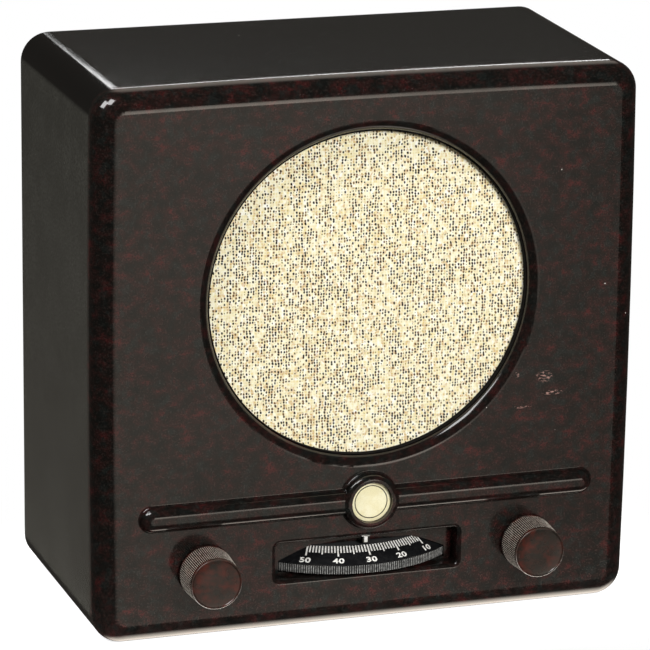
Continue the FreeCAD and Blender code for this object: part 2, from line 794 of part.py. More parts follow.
def cover_screw_places():
    wide = f"({INSIDE_X} - cover_screw_inset)"
    heights = ("side_wall + cover_screw_inset", f"{INSIDE_TOP} - cover_screw_inset")
    return [(x, z) for x in (f"-{wide}", wide) for z in heights]


def baffle_screw_places():
    heights = ("grille_height - baffle_screw", "grille_height + baffle_screw")
    return [(x, z) for x in ("-baffle_screw", "baffle_screw") for z in heights]


def chassis_screw_places():
    side = "(cab_width / 2 - side_wall - chassis_screw_side)"
    levels = ("chassis_front + chassis_screw_end", "chassis_back - chassis_screw_end")
    return [(x, y) for x in (f"-{side}", side) for y in levels]


# --- front trim -----------------------------------------------------------------------

def make_emblem_disc():
    at = ("0", f"{FRONT} - emblem_sink - emblem_thick", "band_height")
    return rod("emblem_disc", "emblem_radius", "emblem_thick", at, TO_BACK)


def make_dial_pointer():
    """A peg that hangs from the window's upper wall, above the disc's flat."""
    front = f"({FRONT} + window_depth / 2 - pointer_depth / 2)"
    return box("dial_pointer", ("-pointer_width / 2", front, "window_high - pointer_drop"),
               ("pointer_width / 2", f"{front} + pointer_depth", "window_high"))


# --- tuning drive ---------------------------------------------------------------------

def make_tuning_disc():
    """A moulded disc: knurled rim, sloping scale ring, flat top and a long hub."""
    flat = "(dial_rim + dial_rise)"
    inner = "(dial_radius - dial_skin)"
    points = [("spindle_radius", flat), ("dial_flat", flat), ("dial_radius", "dial_rim"),
              ("dial_radius", "0"), (inner, "0"), (inner, "dial_rim - dial_skin / 2"),
              ("dial_flat - dial_skin / 2", f"{flat} - dial_skin"), ("dial_hub", f"{flat} - dial_skin"),
              ("dial_hub", f"{flat} - dial_hub_length"), ("spindle_radius", f"{flat} - dial_hub_length")]
    body = turned("tuning_disc", points, ("0", DIAL_Y, "dial_low"))
    hole = sketch_on(body, "set_screw_hole", "XZ_Plane", "dial_hub * 1.125")
    circle(hole, "0", f"{flat} - set_screw_drop", "baffle_screw_radius")
    pocket(body, hole, "dial_hub * 1.125 - spindle_radius / 2")
    return body


def make_disc_set_screw():
    at = ("0", f"{DIAL_Y} - dial_hub + set_screw_inset", "dial_low + dial_rim + dial_rise - set_screw_drop")
    length = "dial_hub - set_screw_inset - spindle_radius"
    return rod("disc_set_screw", "baffle_screw_radius", length, at, TO_BACK)


def make_tuning_spindle():
    at = ("0", DIAL_Y, "spindle_foot")
    return rod("tuning_spindle", "spindle_radius", "spindle_top - spindle_foot", at)


def make_floor_bearing():
    at = ("0", DIAL_Y, "side_wall + bearing_floor")
    return tube("floor_bearing", "bearing_radius", "spindle_radius + fit_gap", "bearing_length", at)


def vane(name, radius, bore, thick, at, turn, start):
    """Half of a thin ring, from the start angle on."""
    disc = rod(name + "_disc", radius, thick, at, turn)
    disc.Placement.Rotation = turn.multiply(FreeCAD.Rotation(FreeCAD.Vector(0, 0, 1), start))
    disc.Angle = 180
    hole = rod(name + "_hole", bore, thick, at, turn)
    return cut(name, disc, [hole])


VANES = 4
ROTOR_ANGLE = 150
VANE_START = f"({CHASSIS_TOP} + tuner_plate + vane_rise)"


def make_tuner_frame():
    """Two plates on four pillars; the upper plate is the spindle's top bearing."""
    pieces = []
    for name, low in (("lower", CHASSIS_TOP), ("upper", f"{CHASSIS_TOP} + tuner_plate + tuner_gap")):
        plate = box(f"tuner_{name}_plate", ("-tuner_half", f"{DIAL_Y} - tuner_half", low),
                    ("tuner_half", f"{DIAL_Y} + tuner_half", f"{low} + tuner_plate"))
        reach = "spindle_radius + fit_gap" if name == "upper" else "tuner_hub"
        hole = rod(f"tuner_{name}_hole", reach, "tuner_plate", ("0", DIAL_Y, low))
        holes = [hole]
        if name == "lower":
            for number, side in enumerate(("-", "+")):
                place_at = ("0", f"{DIAL_Y} {side} tuner_screw", low)
                holes.append(rod(f"tuner_screw_hole_{number}", "screw_radius", "tuner_plate", place_at))
        pieces.append(cut(f"tuner_{name}_drilled", plate, holes))
    corner = "(tuner_half - tuner_pillar)"
    for number, (x, y) in enumerate((("-", "-"), ("-", "+"), ("", "-"), ("", "+"))):
        at = (f"{x}{corner}", f"{DIAL_Y} {y} {corner}", f"{CHASSIS_TOP} + tuner_plate")
        pieces.append(rod(f"tuner_pillar_{number}", "tuner_pillar", "tuner_gap", at))
    return join("tuner_frame", pieces)


def make_tuner_rotor():
    hub = tube("tuner_rotor_hub", "tuner_hub", "spindle_radius", f"tuner_vane_pitch * {VANES + 1.5}",
               ("0", DIAL_Y, f"{VANE_START} - tuner_vane_pitch / 2"))
    pieces = [hub]
    for number in range(VANES):
        at = ("0", DIAL_Y, f"{VANE_START} + tuner_vane_pitch * {number}")
        pieces.append(vane(f"tuner_rotor_vane_{number}", "tuner_vane", "tuner_hub - vane_overlap",
                           "tuner_vane_thick", at, UPRIGHT, ROTOR_ANGLE))
    return join("tuner_rotor", pieces)


def make_tuner_stator():
    """Fixed vanes between the turning ones, held by two posts on the lower plate."""
    pieces = []
    for number in range(VANES - 1):
        at = ("0", DIAL_Y, f"{VANE_START} + tuner_vane_pitch * {number + 0.5}")
        pieces.append(vane(f"tuner_stator_vane_{number}", "tuner_vane + stator_margin",
                           "tuner_hub + stator_gap", "tuner_vane_thick", at, UPRIGHT, 0))
    near = f"{DIAL_Y} + stator_post_start"
    top = f"{VANE_START} + tuner_vane_pitch * {VANES - 0.5}"
    for number, side in enumerate(("-", "")):
        inner_edge = f"{side}(tuner_vane + stator_post_gap)"
        edges = sorted((inner_edge, f"{side}(tuner_vane + stator_post_gap + stator_post_thick)"), key=size)
        pieces.append(box(f"tuner_stator_post_{number}", (edges[0], near, f"{CHASSIS_TOP} + tuner_plate"),
                          (edges[1], f"{near} + stator_post_width", top)))
    return join("tuner_stator", pieces)


def make_tuner_screws():
    screws = []
    for number, side in enumerate(("-", "+")):
        at = ("0", f"{DIAL_Y} {side} tuner_screw", f"{CHASSIS_TOP} + tuner_plate")
        screws.append(screw(f"tuner_screw_{number}", at, "screw_head", "screw_head_thick", "screw_radius",
                            "tuner_plate + chassis_thick", UPRIGHT))
    return group("tuner_screws", screws)


# --- control knobs --------------------------------------------------------------------

def make_knob(name, x):
    """A tapered knob with a bevelled cap, hollow behind to cover the nut."""
    points = [("0", "knob_length"), ("knob_cap - knob_bevel", "knob_length"),
              ("knob_cap", "knob_length - knob_bevel"), ("knob_base", "0"), ("knob_recess", "0"),
              ("knob_recess", "knob_recess_depth"), ("shaft_radius", "knob_recess_depth"),
              ("shaft_radius", "knob_length - knob_skin"), ("0", "knob_length - knob_skin")]
    return turned(name, points, (x, KNOB_BACK, "knob_height"), TO_FRONT)


def make_shaft(name, x, back):
    return rod(name, "shaft_radius", f"({back}) - ({SHAFT_TIP})", (x, SHAFT_TIP, "knob_height"), TO_BACK)


def make_bush(name, x):
    """A panel bush: a barrel through the wall with a flange behind it."""
    inside = "bush_nose + front_wall"
    behind = f"{inside} + bush_flange_thick"
    points = [("shaft_radius + fit_gap", "0"), ("bush_radius", "0"), ("bush_radius", inside),
              ("bush_flange", inside), ("bush_flange", behind), ("bush_radius", behind),
              ("bush_radius", f"{behind} + bush_tail"), ("shaft_radius + fit_gap", f"{behind} + bush_tail")]
    return turned(name, points, (x, f"{FRONT} - bush_nose", "knob_height"), TO_BACK)


def make_nut(name, x):
    """A hexagon nut on the bush's nose, hidden in the knob's hollow."""
    block = doc.addObject("Part::Prism", name + "_block")
    block.Polygon = 6
    bind(block, "Circumradius", "nut_flats / sqrt(3)")
    bind(block, "Height", "nut_thick")
    at = (x, f"{FRONT} - nut_thick", "knob_height")
    place(block, at, TO_BACK)
    hole = rod(name + "_thread", "bush_radius", "nut_thick", at, TO_BACK)
    return cut(name, block, [hole])


# --- aerial coupler on the left shaft -------------------------------------------------

LEFT_X = f"(-{KNOB_X})"
COUPLER_Y = f"({FRONT} + coupler_setback)"
COUPLER_X = f"({LEFT_X} - coupler_reach)"


def make_coupling_arm():
    """A hub on the shaft with a flat arm that carries the swinging coil."""
    at = (LEFT_X, f"{COUPLER_Y} - coupler_hub_length", "knob_height")
    hub = rod("coupling_hub", "shaft_radius + coupler_hub_wall", "coupler_hub_length", at, TO_BACK)
    arm = box("coupling_strip", (COUPLER_X, f"{COUPLER_Y} - coupler_arm", "knob_height - coupler_arm_half"),
              (LEFT_X, COUPLER_Y, "knob_height + coupler_arm_half"))
    hole = rod("coupling_hole", "shaft_radius", "coupler_hub_length", at, TO_BACK)
    return cut("coupling_arm", join("coupling_blank", [hub, arm]), [hole])


def make_coupling_coil():
    return tube("coupling_coil", "coupler_radius", "coupler_bore", "coupler_thick",
                (COUPLER_X, COUPLER_Y, "knob_height"), TO_BACK)


AERIAL_COIL_Y = f"({COUPLER_Y} + coupler_thick + coil_spacing)"


def make_aerial_coil():
    return tube("aerial_coil", "aerial_coil_radius", "coupler_bore", "aerial_coil_length",
                (COUPLER_X, AERIAL_COIL_Y, "knob_height"), TO_BACK)


def make_coil_bracket():
    """A strip that hangs from the chassis board behind the fixed coil."""
    start = f"({AERIAL_COIL_Y} + aerial_coil_length)"
    return box("coil_bracket", (f"{COUPLER_X} - coupler_radius", start, "knob_height - coupler_radius"),
               (f"{COUPLER_X} + coupler_radius", f"{start} + coupler_arm", "chassis_height"))


# --- reaction capacitor and mains switch on the right shaft ---------------------------

REACTION_FRONT = BUSH_BACK
REACTION_BACK = f"({REACTION_FRONT} + reaction_plate + reaction_gap)"
REACTION_VANE = f"({BUSH_TAIL} + reaction_vane_gap)"


def make_reaction_frame():
    pieces = []
    for name, low, reach in (("front", REACTION_FRONT, "bush_radius + fit_gap"),
                             ("rear", REACTION_BACK, "shaft_radius + fit_gap")):
        plate = box(f"reaction_{name}_plate",
                    (f"{KNOB_X} - reaction_half", low, "knob_height - reaction_half"),
                    (f"{KNOB_X} + reaction_half", f"{low} + reaction_plate", "knob_height + reaction_half"))
        hole = rod(f"reaction_{name}_hole", reach, "reaction_plate", (KNOB_X, low, "knob_height"), TO_BACK)
        pieces.append(cut(f"reaction_{name}_drilled", plate, [hole]))
    corner = "(reaction_half - reaction_pillar - reaction_pillar_inset)"
    for number, (x, z) in enumerate((("-", "-"), ("-", "+"), ("+", "-"), ("+", "+"))):
        at = (f"{KNOB_X} {x} {corner}", f"{REACTION_FRONT} + reaction_plate", f"knob_height {z} {corner}")
        pieces.append(rod(f"reaction_pillar_{number}", "reaction_pillar", "reaction_gap", at, TO_BACK))
    return join("reaction_frame", pieces)


def make_reaction_rotor():
    hub_at = (KNOB_X, f"{BUSH_TAIL} + reaction_hub_gap", "knob_height")
    hub = tube("reaction_hub", "reaction_hub", "shaft_radius", "reaction_hub_length", hub_at, TO_BACK)
    pieces = [hub]
    for number in range(VANES - 1):
        at = (KNOB_X, f"{REACTION_VANE} + tuner_vane_pitch * {number}", "knob_height")
        pieces.append(vane(f"reaction_rotor_vane_{number}", "reaction_vane", "reaction_hub - vane_overlap",
                           "tuner_vane_thick", at, TO_BACK, 180))
    return join("reaction_rotor", pieces)


def make_reaction_stator():
    pieces = []
    for number in range(VANES - 2):
        at = (KNOB_X, f"{REACTION_VANE} + tuner_vane_pitch * {number + 0.5}", "knob_height")
        pieces.append(vane(f"reaction_stator_vane_{number}", "reaction_vane + reaction_stator_margin",
                           "reaction_hub + reaction_stator_gap", "tuner_vane_thick", at, TO_BACK, 0))
    post_top = "(knob_height - reaction_vane - reaction_post_gap)"
    pieces.append(box("reaction_stator_post",
                      (f"{KNOB_X} - reaction_post_half", f"{REACTION_FRONT} + reaction_plate",
                       f"{post_top} - reaction_post_thick"),
                      (f"{KNOB_X} + reaction_post_half", REACTION_BACK, post_top)))
    return join("reaction_stator", pieces)


SWITCH_Y = f"({REACTION_BACK} + reaction_plate)"


def make_mains_switch():
    case = box("switch_case", (f"{KNOB_X} - switch_side / 2", SWITCH_Y, "knob_height - switch_side / 2"),
               (f"{KNOB_X} + switch_side / 2", f"{SWITCH_Y} + switch_depth", "knob_height + switch_side / 2"))
    hole = rod("switch_hole", "shaft_radius + fit_gap", "switch_depth / 2", (KNOB_X, SWITCH_Y, "knob_height"),
               TO_BACK)
    return cut("mains_switch", case, [hole])


# --- cloth, baffle and loudspeaker ----------------------------------------------------

def make_grille_cloth():
    at = ("0", WALL_BACK, "grille_height")
    return rod("grille_cloth", "grille_radius + cloth_margin", "cloth_thick", at, TO_BACK)


def make_baffle_board():
    body = new_body("baffle_board")
    outline = sketch_on(body, "board_outline", "XZ_Plane", f"-({CLOTH_BACK})")
    half = "(baffle_side / 2)"
    polygon(outline, [(f"-{half}", f"grille_height - {half}"), (half, f"grille_height - {half}"),
                      (half, f"grille_height + {half}"), (f"-{half}", f"grille_height + {half}")])
    circle(outline, "0", "grille_height", "baffle_hole")
    for x, z in baffle_screw_places():
        circle(outline, x, z, "baffle_screw_radius")
    for x, z in speaker_screw_places():
        circle(outline, x, z, "speaker_screw_radius")
    pad(body, outline, "baffle_thick", True)
    return body


def speaker_screw_places():
    step = "(speaker_screw_ring / sqrt(2))"
    return [(f"{x}{step}", f"grille_height {z} {step}") for x in ("-", "") for z in ("-", "+")]


def make_baffle_screws():
    screws = []
    for number, (x, z) in enumerate(baffle_screw_places()):
        screws.append(screw(f"baffle_screw_{number}", (x, BAFFLE_BACK, z), "screw_head", "screw_head_thick",
                            "baffle_screw_radius", "baffle_thick + baffle_screw_bite", TO_BACK))
    return group("baffle_screws", screws)


def make_speaker_screws():
    screws = []
    for number, (x, z) in enumerate(speaker_screw_places()):
        screws.append(screw(f"speaker_screw_{number}", (x, BASKET_Y, z), "speaker_screw_head",
                            "screw_head_thick", "speaker_screw_radius", "basket_flange + baffle_thick",
                            TO_BACK))
    return group("speaker_screws", screws)


def make_speaker_basket():
    """A pressed flange, a cone with four windows and a plate that carries the magnet."""
    front = ("0", BAFFLE_BACK, "grille_height")
    behind = ("0", BASKET_Y, "grille_height")
    flange = rod("basket_flange_disc", "basket_radius", "basket_flange", front, TO_BACK)
    mouth = rod("basket_mouth", "basket_hole", "basket_flange", front, TO_BACK)
    holes = [mouth]
    for number, (x, z) in enumerate(speaker_screw_places()):
        holes.append(rod(f"basket_screw_hole_{number}", "speaker_screw_radius", "basket_flange",
                         (x, BAFFLE_BACK, z), TO_BACK))
    outer = funnel("basket_outer", "basket_front", "basket_back", "basket_length", behind, TO_BACK)
    inner = funnel("basket_inner", "basket_front - basket_skin", "basket_back - basket_skin", "basket_length",
                   behind, TO_BACK)
    half = "(basket_window / 2)"
    near = f"{BASKET_Y} + basket_rim"
    far = f"{PLATE_Y} - basket_rim"
    level = box("basket_level_window", ("-basket_radius", near, f"grille_height - {half}"),
                ("basket_radius", far, f"grille_height + {half}"))
    upright = box("basket_upright_window", (f"-{half}", near, "grille_height - basket_radius"),
                  (half, far, "grille_height + basket_radius"))
    plate = tube("basket_rear_plate", "basket_back", "cone_apex", "basket_plate",
                 ("0", PLATE_Y, "grille_height"), TO_BACK)
    shell = cut("basket_shell", outer, [inner, level, upright])
    return join("speaker_basket", [cut("basket_ring", flange, holes), shell, plate])


CONE_Y = f"({BAFFLE_BACK} + surround_thick + surround_gap)"
CONE_BACK = f"({CONE_Y} + cone_length)"


def make_cone_surround():
    return tube("cone_surround", "basket_hole", "basket_hole - surround_width", "surround_thick",
                ("0", f"{CONE_Y} - surround_thick", "grille_height"), TO_BACK)


def make_speaker_cone():
    """Stiff paper, open at the front and closed by a small cap at the back."""
    at = ("0", CONE_Y, "grille_height")
    outer = funnel("cone_outer", "cone_radius", "cone_apex", "cone_length", at, TO_BACK)
    inner = funnel("cone_inner", "cone_radius - cone_wall", "cone_apex - cone_paper", "cone_length", at,
                   TO_BACK)
    cap = rod("cone_cap", "cone_apex", "cone_paper", ("0", CONE_BACK, "grille_height"), TO_BACK)
    return join("speaker_cone", [cut("cone_paper_shell", outer, [inner]), cap])


def make_drive_rod():
    start = f"({CONE_BACK} + cone_paper)"
    return rod("drive_rod", "rod_radius", f"{REED_Y} - {start}", ("0", start, "grille_height"), TO_BACK)


def make_armature_reed():
    return box("armature_reed", ("-reed_width / 2", REED_Y, "grille_height - reed_bottom"),
               ("reed_width / 2", f"{REED_Y} + reed_thick", "grille_height + reed_top"))


def make_reed_clamp():
    foot = "(grille_height - reed_bottom - clamp_foot)"
    block = box("clamp_block", ("-clamp_width / 2", MAGNET_Y, foot),
                ("clamp_width / 2", f"{MAGNET_Y} + magnet_thick", f"{foot} + clamp_height"))
    slot = box("clamp_slot", ("-(reed_width / 2 + reed_clear)", f"{REED_Y} - reed_clear",
               "grille_height - reed_bottom - reed_clear"),
               ("reed_width / 2 + reed_clear", f"{REED_Y} + reed_thick + reed_clear",
                "grille_height - reed_bottom + clamp_height"))
    return cut("reed_clamp", block, [slot])


def make_speaker_magnet():
    """A horseshoe: two legs joined by half a ring above the reed."""
    arch_z = "grille_height + magnet_leg / 2"
    at = ("0", MAGNET_Y, arch_z)
    ring = tube("magnet_ring", "magnet_outer", "magnet_inner", "magnet_thick", at, TO_BACK)
    below = box("magnet_below", ("-magnet_outer", MAGNET_Y, f"{arch_z} - magnet_outer"),
                ("magnet_outer", f"{MAGNET_Y} + magnet_thick", arch_z))
    pieces = [cut("magnet_arch", ring, [below])]
    for number, side in enumerate(("-", "")):
        edges = sorted((f"{side}magnet_inner", f"{side}magnet_outer"), key=size)
        pieces.append(box(f"magnet_leg_{number}", (edges[0], MAGNET_Y, "grille_height - magnet_leg / 2"),
                          (edges[1], f"{MAGNET_Y} + magnet_thick", arch_z)))
    return join("speaker_magnet", pieces)


def make_pole_shoes():
    shoes = []
    for number, side in enumerate(("-", "")):
        edges = sorted((f"{side}(magnet_inner - pole_width)", f"{side}magnet_inner"), key=size)
        shoes.append(box(f"pole_shoe_{number}", (edges[0], MAGNET_Y, "grille_height - pole_height / 2"),
                         (edges[1], f"{MAGNET_Y} + pole_thick", "grille_height + pole_height / 2")))
    return group("pole_shoes", shoes)


def make_speaker_coil():
    """The signal coil round the reed, under the pole shoes."""
    top = "grille_height - pole_height / 2"
    block = box("coil_block", ("-magnet_inner", MAGNET_Y, f"{top} - coil_height"),
                ("magnet_inner", f"{MAGNET_Y} + pole_thick", top))
    slot = box("coil_slot",
               ("-(reed_width / 2 + reed_clear)", f"{REED_Y} - reed_clear", f"{top} - coil_height"),
               ("reed_width / 2 + reed_clear", f"{REED_Y} + reed_thick + reed_clear", top))
    return cut("speaker_coil", block, [slot])


# --- chassis --------------------------------------------------------------------------

CHASSIS_HALF = "(cab_width / 2 - side_wall - chassis_margin)"


def make_chassis_board():
    body = new_body("chassis_board")
    outline = sketch_on(body, "chassis_outline", "XY_Plane", "chassis_height")
    polygon(outline, [(f"-{CHASSIS_HALF}", "chassis_front"), (CHASSIS_HALF, "chassis_front"),
                      (CHASSIS_HALF, "chassis_back"), (f"-{CHASSIS_HALF}", "chassis_back")])
    circle(outline, "0", DIAL_Y, "tuner_hub")
    for side in ("-", "+"):
        circle(outline, "0", f"{DIAL_Y} {side} tuner_screw", "screw_radius")
    for x, y in chassis_screw_places():
        circle(outline, x, y, "screw_radius")
    pad(body, outline, "chassis_thick")
    return body


def make_chassis_screws():
    screws = []
    for number, (x, y) in enumerate(chassis_screw_places()):
        screws.append(screw(f"chassis_screw_{number}", (x, y, CHASSIS_TOP), "screw_head", "screw_head_thick",
                            "screw_radius", "chassis_thick + chassis_screw_bite", UPRIGHT))
    return group("chassis_screws", screws)


def make_valve(name, x, y, radius, length):
    """A moulded base, a domed glass envelope and the electrodes inside it."""
    base_z = f"({CHASSIS_TOP} + socket_thick)"
    glass_z = f"({base_z} + valve_base)"
    envelope = f"({radius} - envelope_step)"
    foot = rod(f"{name}_base", radius, "valve_base", (x, y, base_z))
    shoulder = f"({length} - {envelope} * shoulder_share)"
    within = f"({envelope} - glass_thick)"
    neck = f"({envelope} * neck_share)"
    ceiling = f"{length} - glass_thick"
    points = [(envelope, "0"), (envelope, shoulder), (neck, length), ("0", length), ("0", ceiling),
              (f"{neck} - glass_thick / 2", ceiling), (within, f"{shoulder} - glass_thick / 2"),
              (within, "0")]
    glass = turned(f"{name}_glass", points, (x, y, glass_z))
    inner = rod(f"{name}_electrodes", f"{envelope} * electrode_share", f"{length} * electrode_share",
                (x, y, glass_z))
    return [foot, glass, inner]


def make_valve_sockets():
    """One low socket on the chassis board under each valve."""
    places = (("output_x", "output_y", "output_radius"), ("rectifier_x", "rectifier_y", "rectifier_radius"))
    sockets = []
    for number, (x, y, radius) in enumerate(places):
        socket_radius = f"{radius} - socket_step"
        sockets.append(rod(f"valve_socket_{number}", socket_radius, "socket_thick", (x, y, CHASSIS_TOP)))
    return group("valve_sockets", sockets)


def make_filter_capacitors():
    x = f"filter_inset - {CHASSIS_HALF}"
    cans = []
    for number, y in enumerate(("filter_pitch / 2", "-filter_pitch / 2")):
        cans.append(rod(f"filter_can_{number}", "filter_radius", "filter_length", (x, y, CHASSIS_TOP)))
    return group("filter_capacitors", cans)


def make_paper_capacitors():
    tubes = []
    for number in range(3):
        at = ("tuner_half + paper_gap", f"chassis_front + paper_inset + paper_pitch * {number}",
              f"{CHASSIS_TOP} + paper_radius")
        tubes.append(rod(f"paper_capacitor_{number}", "paper_radius", "paper_length", at, TO_RIGHT))
    return group("paper_capacitors", tubes)


def make_resistors():
    bodies = []
    y = f"{DIAL_Y} + tuner_half + resistor_radius + resistor_row_gap"
    for number in range(4):
        at = (f"(resistor_length + resistor_gap) * {number - 1} - tuner_half", y,
              f"{CHASSIS_TOP} + resistor_radius")
        bodies.append(rod(f"resistor_{number}", "resistor_radius", "resistor_length", at, TO_RIGHT))
    return group("resistors", bodies)


def make_dropper_resistor():
    """A tall wire-wound tube that drops the mains voltage for the heaters."""
    at = (f"{CHASSIS_HALF} - dropper_inset", "rectifier_y", CHASSIS_TOP)
    return tube("dropper_resistor", "dropper_radius", "dropper_bore", "dropper_length", at)


FUSE_X = f"({CHASSIS_HALF} - fuse_block / 2 - fuse_inset)"


def make_fuse_holder():
    block = box("fuse_block", (f"{FUSE_X} - fuse_block / 2", f"{DIAL_Y} - fuse_base / 2", CHASSIS_TOP),
                (f"{FUSE_X} + fuse_block / 2", f"{DIAL_Y} + fuse_base / 2", f"{CHASSIS_TOP} + fuse_base"))
    groove = rod("fuse_groove", "fuse_radius", "fuse_length",
                 (f"{FUSE_X} - fuse_length / 2", DIAL_Y, f"{CHASSIS_TOP} + fuse_base"), TO_RIGHT)
    return cut("fuse_holder", block, [groove])


def make_fuse():
    at = (f"{FUSE_X} - fuse_length / 2", DIAL_Y, f"{CHASSIS_TOP} + fuse_base")
    return rod("fuse", "fuse_radius", "fuse_length", at, TO_RIGHT)


COIL_Y = f"({DIAL_Y} - coil_former)"


def make_coil_former():
    at = ("tuning_coil_x", COIL_Y, CHASSIS_TOP)
    return tube("coil_former", "coil_former", "coil_former_bore", "coil_former_length", at)


def make_coil_winding():
    start = f"{CHASSIS_TOP} + (coil_former_length - winding_length) / 2"
    return tube("coil_winding", "coil_former + winding_thick", "coil_former", "winding_length",
                ("tuning_coil_x", COIL_Y, start))


# --- aerial and earth sockets ---------------------------------------------------------

AERIAL_Z = f"({CHASSIS_TOP} + aerial_height)"
STRIP_Y = "(chassis_back - strip_thick)"
AERIAL_Y = f"({COVER_BACK} - aerial_depth)"


def aerial_places():
    return [f"aerial_pitch * ({number})" for number in (-1, 0, 1)]


def make_aerial_strip():
    """An upright strip on the chassis board's back edge, with three holes."""
    strip = box("strip_blank", ("-strip_width / 2", STRIP_Y, CHASSIS_TOP),
                ("strip_width / 2", f"{STRIP_Y} + strip_thick", f"{CHASSIS_TOP} + strip_height"))
    holes = [rod(f"strip_hole_{number}", "aerial_radius", "strip_thick", (x, STRIP_Y, AERIAL_Z), TO_BACK)
             for number, x in enumerate(aerial_places())]
    return cut("aerial_strip", strip, holes)


def make_aerial_sockets():
    """Three brass sockets for 4 mm plugs, closed at the inner end."""
    sockets = []
    for number, x in enumerate(aerial_places()):
        wall = rod(f"aerial_wall_{number}", "aerial_radius", "aerial_depth + aerial_end",
                   (x, f"{AERIAL_Y} - aerial_end", AERIAL_Z), TO_BACK)
        hole = rod(f"aerial_bore_{number}", "aerial_bore", "aerial_depth", (x, AERIAL_Y, AERIAL_Z), TO_BACK)
        sockets.append(cut(f"aerial_socket_{number}", wall, [hole]))
    return group("aerial_sockets", sockets)


# --- back -----------------------------------------------------------------------------

def make_back_cover():
    """Pressed board: rows of vents, holes for the sockets, the screws and the inlet."""
    body = new_body("back_cover")
    outline = sketch_on(body, "cover_outline", "XZ_Plane", f"-({COVER_FRONT})")
    half = f"({INSIDE_X} - cover_gap)"
    top = f"{INSIDE_TOP} - cover_gap"
    rounded_box(outline, f"-{half}", half, "side_wall + cover_gap", top, "cover_corner")
    for x, z in cover_screw_places():
        circle(outline, x, z, "screw_radius")
    for x in aerial_places():
        circle(outline, x, AERIAL_Z, "aerial_radius + cover_gap")
    circle(outline, "inlet_x", "inlet_z", "inlet_radius")
    pad(body, outline, "cover_thick", True)

    vents = sketch_on(body, "vent_row", "XZ_Plane", f"-({COVER_FRONT})")
    for column in (-1.5, -0.5, 0.5, 1.5):
        left = f"vent_column * ({column}) - vent_length / 2"
        long_hole(vents, left, f"{left} + vent_length", "vent_low", "vent_width / 2")
    row = pocket(body, vents, "cover_thick")
    rows = body.newObject("PartDesign::LinearPattern", "vent_rows_pattern")
    rows.Originals = [row]
    rows.Direction = (vents, ["V_Axis"])
    bind(rows, "Length", "vent_pitch * (vent_rows - 1)")
    bind(rows, "Occurrences", "vent_rows")
    body.Tip = rows
    return body


def make_cover_screws():
    screws = []
    for number, (x, z) in enumerate(cover_screw_places()):
        screws.append(screw(f"cover_screw_{number}", (x, COVER_BACK, z), "screw_head", "cover_recess",
                            "screw_radius", "cover_thick + cover_screw_bite", TO_BACK))
    return group("cover_screws", screws)


def make_inlet_grommet():
    """A rubber grommet in the back cover, with a lip on each side of the board."""
    points = [("inlet_bore", "0"), ("inlet_flange", "0"), ("inlet_flange", "inlet_lip"),
              ("inlet_radius", "inlet_lip"), ("inlet_radius", "inlet_lip + cover_thick"),
              ("inlet_flange", "inlet_lip + cover_thick"), ("inlet_flange", "inlet_lip * 2 + cover_thick"),
              ("inlet_bore", "inlet_lip * 2 + cover_thick")]
    return turned("inlet_grommet", points, ("inlet_x", f"{COVER_FRONT} - inlet_lip", "inlet_z"), TO_BACK)


# --- assembly -------------------------------------------------------------------------

nodes = [
    make_cabinet(), make_emblem_disc(), make_dial_pointer(),
    make_tuning_disc(), make_disc_set_screw(), make_tuning_spindle(), make_floor_bearing(),
    make_tuner_frame(), make_tuner_rotor(), make_tuner_stator(), make_tuner_screws(),
    make_knob("left_knob", LEFT_X), make_shaft("left_shaft", LEFT_X, f"{COUPLER_Y} + shaft_end"),
    group("panel_bushes", [make_bush("left_bush", LEFT_X), make_bush("right_bush", KNOB_X)]),
    group("panel_nuts", [make_nut("left_nut", LEFT_X), make_nut("right_nut", KNOB_X)]),
    make_coupling_arm(), make_coupling_coil(), make_aerial_coil(), make_coil_bracket(),
    make_knob("right_knob", KNOB_X), make_shaft("right_shaft", KNOB_X, f"{SWITCH_Y} + shaft_end"),
    make_reaction_frame(), make_reaction_rotor(), make_reaction_stator(), make_mains_switch(),
    make_grille_cloth(), make_baffle_board(), make_baffle_screws(),
    make_speaker_basket(), make_speaker_screws(), make_cone_surround(), make_speaker_cone(), make_drive_rod(),
    make_armature_reed(), make_reed_clamp(), make_speaker_magnet(), make_pole_shoes(), make_speaker_coil(),
    make_chassis_board(), make_chassis_screws(),
    make_valve_sockets(),
    *make_valve("output_valve", "output_x", "output_y", "output_radius", "output_length"),
    *make_valve("rectifier_valve", "rectifier_x", "rectifier_y", "rectifier_radius", "rectifier_length"),
    make_filter_capacitors(), make_paper_capacitors(), make_resistors(), make_dropper_resistor(),
    make_fuse_holder(), make_fuse(), make_coil_former(), make_coil_winding(),
    make_aerial_strip(), make_aerial_sockets(),
    make_back_cover(), make_cover_screws(), make_inlet_grommet(),
]
doc.recompute()

for item in doc.Objects:
    faults = {"Invalid", "Error"}.intersection(item.State)
    if faults:
        raise ValueError(f"{item.Name} is {faults}")
for node in nodes:
    if node.Shape.isNull() or not node.Shape.isValid() or not node.Shape.Solids:
        raise ValueError(f"{node.Label} has no valid solid")

os.makedirs("parts", exist_ok=True)
for node in nodes:
    node.Shape.exportStep(f"parts/{node.Label}.step")
print(len(nodes), "parts written")
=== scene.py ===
import json
import math
import random

import bmesh
import bpy
from mathutils import Matrix, Vector


